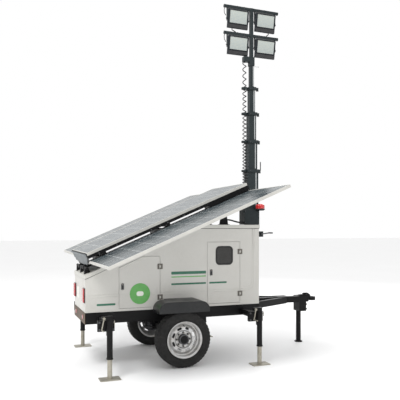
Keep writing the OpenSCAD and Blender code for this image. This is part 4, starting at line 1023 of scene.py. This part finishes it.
def make_floodlight(index):
    """Cast housing with cooling fins, raised bezel, emitter board and glass, lower driver box."""
    name = f"floodlight_{index}"
    pivot = joint_at(f"floodlight_tilt_{index}")
    w, h, d = 0.276, 0.223, 0.052
    piece = Piece(f"{name}_visual", DARK, LED, BLACK_PLASTIC, DARK_METAL)
    piece.space = Matrix.Translation(pivot) @ Matrix.Rotation(math.radians(10), 4, "X")
    piece.block((-w / 2, -d / 2 + 0.002, -h / 2), (w / 2, d / 2 - 0.018, h / 2), DARK, 0.008, 3)
    face = Matrix(((1, 0, 0, 0), (0, 0, -1, -d / 2 + 0.002), (0, 1, 0, 0), (0, 0, 0, 1)))
    lens_w, lens_h, lens_z = 0.228, 0.146, h / 2 - 0.088
    bezel = inward(round_rect(lens_w + 0.022, lens_h + 0.020, 0.008, 3))
    section = [(0, 0), (0.001, 0.0052), (0.009, 0.0052), (0.011, 0.001), (0.011, 0)]
    piece.ring_sweep(section, bezel, DARK, face @ move(0, lens_z, 0))
    piece.quad((-lens_w / 2 - 0.001, lens_z - lens_h / 2 - 0.001),
               (lens_w / 2 + 0.001, lens_z + lens_h / 2 + 0.001), 0.0014, LED, face)
    piece.block((-w / 2 + 0.010, -d / 2 - 0.001, -h / 2 + 0.006),
                (w / 2 - 0.010, -d / 2 + 0.006, lens_z - lens_h / 2 - 0.014), BLACK_PLASTIC, 0.003)
    for k in range(12):
        x = -w / 2 + 0.018 + k * 0.0218
        piece.block((x, d / 2 - 0.019, -h / 2 + 0.020), (x + 0.004, d / 2, h / 2 - 0.020), DARK,
                    0.001)
    for s in (-1, 1):
        piece.block((s * 0.10 - 0.014, -d / 2 - 0.0035, h / 2 - 0.012),
                    (s * 0.10 + 0.014, -d / 2 + 0.004, h / 2 - 0.004), DARK_METAL, 0.001)
    piece.finish(name, "lamp_housing", [name])


def make_lamp_head_trim():
    """Yoke bolts, the bars' bolts and clips, and the short leads at the bars' rear ends."""
    piece = Piece("lamp_head_trim", BLACK_PLASTIC, DARK_METAL, CABLE)
    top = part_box("lamp_frame")[1].z
    bars = [top - 0.020, top - 0.342]
    for index in range(1, 5):
        pivot = joint_at(f"floodlight_tilt_{index}")
        for s in (-1, 1):
            piece.bolt((pivot.x + s * 0.1465, 0, pivot.z), (s, 0, 0), 0.008, DARK_METAL, 0.007)
    for z in bars:
        for s in (-1, 1):
            piece.bolt((MAST_X + s * 0.186, 0, z + 0.015), (0, 0, 1), 0.007, DARK_METAL)
            piece.block((MAST_X + s * 0.10 - 0.006, -0.0165, z - 0.0165),
                        (MAST_X + s * 0.10 + 0.006, 0.0165, z + 0.0165), BLACK_PLASTIC, 0.001)
    end = MAST_X - 0.358
    for z in bars:
        piece.tube([(end + 0.005, 0.012, z - 0.012), (end - 0.001, 0.016, z - 0.04),
                    (end + 0.004, 0.020, z - 0.075), (end + 0.022, 0.020, z - 0.105)], 0.004,
                   CABLE, 8)
    piece.finish("mast_section_5", "mast_paint")


def make_lamp_lead(index, s):
    """The lead from an upper floodlight to the lower bar."""
    pivot = joint_at(f"floodlight_tilt_{index}")
    x = MAST_X + s * 0.25
    z0 = pivot.z - 0.102
    z1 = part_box("lamp_frame")[1].z - 0.325
    path = [(x, 0.024, z0), (x, 0.026, z0 - 0.024), (x - s * 0.014, 0.022, (z0 + z1) / 2),
            (x - s * 0.036, 0.008, z1 + 0.010), (x - s * 0.040, 0.0, z1)]
    piece = Piece(f"lamp_lead_{index}", CABLE).tube(path, 0.0055, CABLE, 10)
    made = piece.finish(slot="cable_rubber")
    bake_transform(made)


def make_whisker():
    """The short bare wire that stands off the top section, below the lamp head."""
    piece = Piece("lightning_whisker", ROPE_AND_HIGHLIGHT)
    z = SECTION_TOP[4] - 0.100
    piece.tube([(MAST_X + 0.024, 0, z), (MAST_X + 0.100, 0, z)], 0.0022, ROPE_AND_HIGHLIGHT, 8)
    piece.turned([(0.0, 0), (0.005, 0.001), (0.005, 0.006), (0.0, 0.007)], ROPE_AND_HIGHLIGHT,
                 along((1, 0, 0), (MAST_X + 0.096, 0, z)), 12)
    piece.finish("mast_section_5", "mast_paint")


def make_beacon():
    """Red ribbed dome on a black foot."""
    lo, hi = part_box("beacon_lamp")
    centre = Vector(((lo.x + hi.x) / 2, (lo.y + hi.y) / 2, lo.z))
    piece = Piece("beacon_visual", AMBER_RED, BLACK_PLASTIC)
    r = (hi.x - lo.x) / 2
    h = hi.z - lo.z
    piece.turned([(0, 0), (r - 0.001, 0), (r, 0.001), (r, 0.013), (r - 0.002, 0.015), (0, 0.015)],
                 BLACK_PLASTIC, Matrix.Translation(centre), 64)
    crown = [(r - 0.028 + 0.024 * math.cos(a), h - 0.027 + 0.026 * math.sin(a))
             for a in [math.radians(step) for step in range(0, 91, 10)]]
    dome = [(r - 0.004, 0.015)] + crown + [(0, h - 0.0005)]
    piece.turned(dome, AMBER_RED, Matrix.Translation(centre), 96, smooth=True,
                 radius=lambda k, i, v: v - 0.0016 if k % 4 < 2 and 0 < i < 8 else v)
    piece.finish("trailer", "red_lens", ["beacon_lamp"])


def make_winch_trim():
    """Rope on the drum, base-plate bolts, and the rope's run up the mast."""
    centre = joint_at("winch_crank_spin")
    piece = Piece("winch_trim", ROPE_AND_HIGHLIGHT, ZINC)
    for k in range(9):
        piece.turned([(0.0225, 0), (0.0268, 0.0022), (0.0268, 0.0052), (0.0225, 0.0072)], ROPE_AND_HIGHLIGHT,
                     along((0, 1, 0), (centre.x, -0.036 + k * 0.008, centre.z)), 40)
    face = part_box("winch_body")[0]
    for y in (-0.044, 0.044):
        for z in (-0.045, 0.045):
            piece.bolt((face.x + 0.006, y, centre.z + z), (1, 0, 0), 0.006, ZINC)
    piece.tube([(centre.x - 0.024, 0.0, centre.z + 0.010), (MAST_X + 0.072, 0.0, centre.z + 0.12),
                (MAST_X + 0.071, 0.0, 1.500)], 0.003, ROPE_AND_HIGHLIGHT, 8)
    piece.finish("trailer", "mast_paint")


def make_housing_trim():
    """Lid seam, screws and cable gland on the box round the mast."""
    lo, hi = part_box("mast_housing")
    piece = Piece("housing_trim", DARK_METAL, BLACK_PLASTIC)
    x0, x1 = lo.x + 0.014, hi.x
    y = 0.075
    for s in (-1, 1):
        piece.block((x0 + 0.008, s * y - 0.0015, hi.z - 0.030),
                    (x1 - 0.008, s * y + 0.0015, hi.z - 0.026), BLACK_PLASTIC, 0.0006)
        for x in (x0 + 0.018, x1 - 0.018):
            for z in (1.535, hi.z - 0.045):
                piece.bolt((x, s * y, z), (0, s, 0), 0.005, DARK_METAL)
    piece.turned([(0.014, 0), (0.027, 0.0), (0.027, 0.006), (0.014, 0.009)], BLACK_PLASTIC,
                 move(COIL_X, 0, hi.z), 32)
    piece.finish("trailer", "mast_paint")


for section in range(1, 6):
    make_mast_trim(section)
for lamp in range(1, 5):
    make_floodlight(lamp)
make_lamp_head_trim()
make_lamp_lead(1, -1)
make_lamp_lead(2, 1)
make_whisker()
make_beacon()
make_winch_trim()
make_housing_trim()


# ---- inside the cabinet ----


def make_inside():
    """Meters, switches and breakers on the control panel, and the battery links."""
    piece = Piece("control_details", BLACK_PLASTIC, WHITE_DECAL, GREEN, RED)
    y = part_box("control_box")[0].y
    for k in range(3):
        x = AXLE_X + 0.47 + k * 0.085
        piece.block((x, y - 0.004, 1.10), (x + 0.065, y, 1.165), BLACK_PLASTIC, 0.003)
        piece.block((x + 0.006, y - 0.0055, 1.112), (x + 0.059, y - 0.0035, 1.150), WHITE_DECAL,
                    0.001)
        piece.disc_bar(0.011, 0.012, (GREEN, RED, BLACK_PLASTIC)[k],
                       along((0, -1, 0), (x + 0.032, y, 1.04)), 24, 0.002)
    for k in range(6):
        x = AXLE_X + 0.46 + k * 0.045
        piece.block((x, y - 0.006, 0.955), (x + 0.036, y, 1.005), BLACK_PLASTIC, 0.002)
    piece.finish("trailer", "control_paint")
    links = Piece("battery_links", CABLE)
    b_lo, b_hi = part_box("battery_bank")
    for s in (-1, 1):
        yc = s * 0.121
        links.tube([(b_lo.x + 0.142, yc, b_hi.z - 0.006), (b_lo.x + 0.165, yc, b_hi.z + 0.016),
                    (b_lo.x + 0.192, yc, b_hi.z + 0.016), (b_lo.x + 0.214, yc, b_hi.z - 0.006)],
                   0.006, CABLE, 10)
    links.finish("trailer", "battery_case")


make_inside()


# ---- floor and light ----


def make_floor():
    """Pale studio floor with a trace of tone variation."""
    n = Nodes("studio_floor")
    n.set(Base_Color=n.mix(n.noise(0.6, 2), rgb(0.90, 0.90, 0.90), rgb(0.93, 0.93, 0.93)))
    n.set(Roughness=0.9, Specular_IOR_Level=0.1)
    data = bpy.data.meshes.new("floor")
    size = 60
    data.from_pydata([(-size, -size, 0), (size, -size, 0), (size, size, 0), (-size, size, 0)], [],
                     [(0, 1, 2, 3)])
    data.materials.append(n.mat)
    add_object("floor", data)


def make_light(name, at, target, size, power):
    """A white disc of light at a place, turned to its target."""
    data = bpy.data.lights.new(name, "AREA")
    data.shape = "DISK"
    data.size = size
    data.energy = power
    made = add_object(name, data)
    made.location = at
    made.rotation_euler = (Vector(target) - Vector(at)).to_track_quat("-Z", "Y").to_euler()


def make_world():
    world = bpy.data.worlds.new("studio")
    world.use_nodes = True
    back = world.node_tree.nodes["Background"]
    back.inputs["Color"].default_value = (1.0, 1.0, 1.0, 1.0)
    back.inputs["Strength"].default_value = 1.0
    bpy.context.scene.world = world


make_floor()
make_world()
make_light("key", (-4.5, -3.5, 7.5), (0, 0, 0.8), 3.0, 370)
make_light("rim", (5.0, 5.0, 5.0), (0, 0, 1.2), 3.0, 160)
bpy.context.scene.view_settings.view_transform = "Standard"
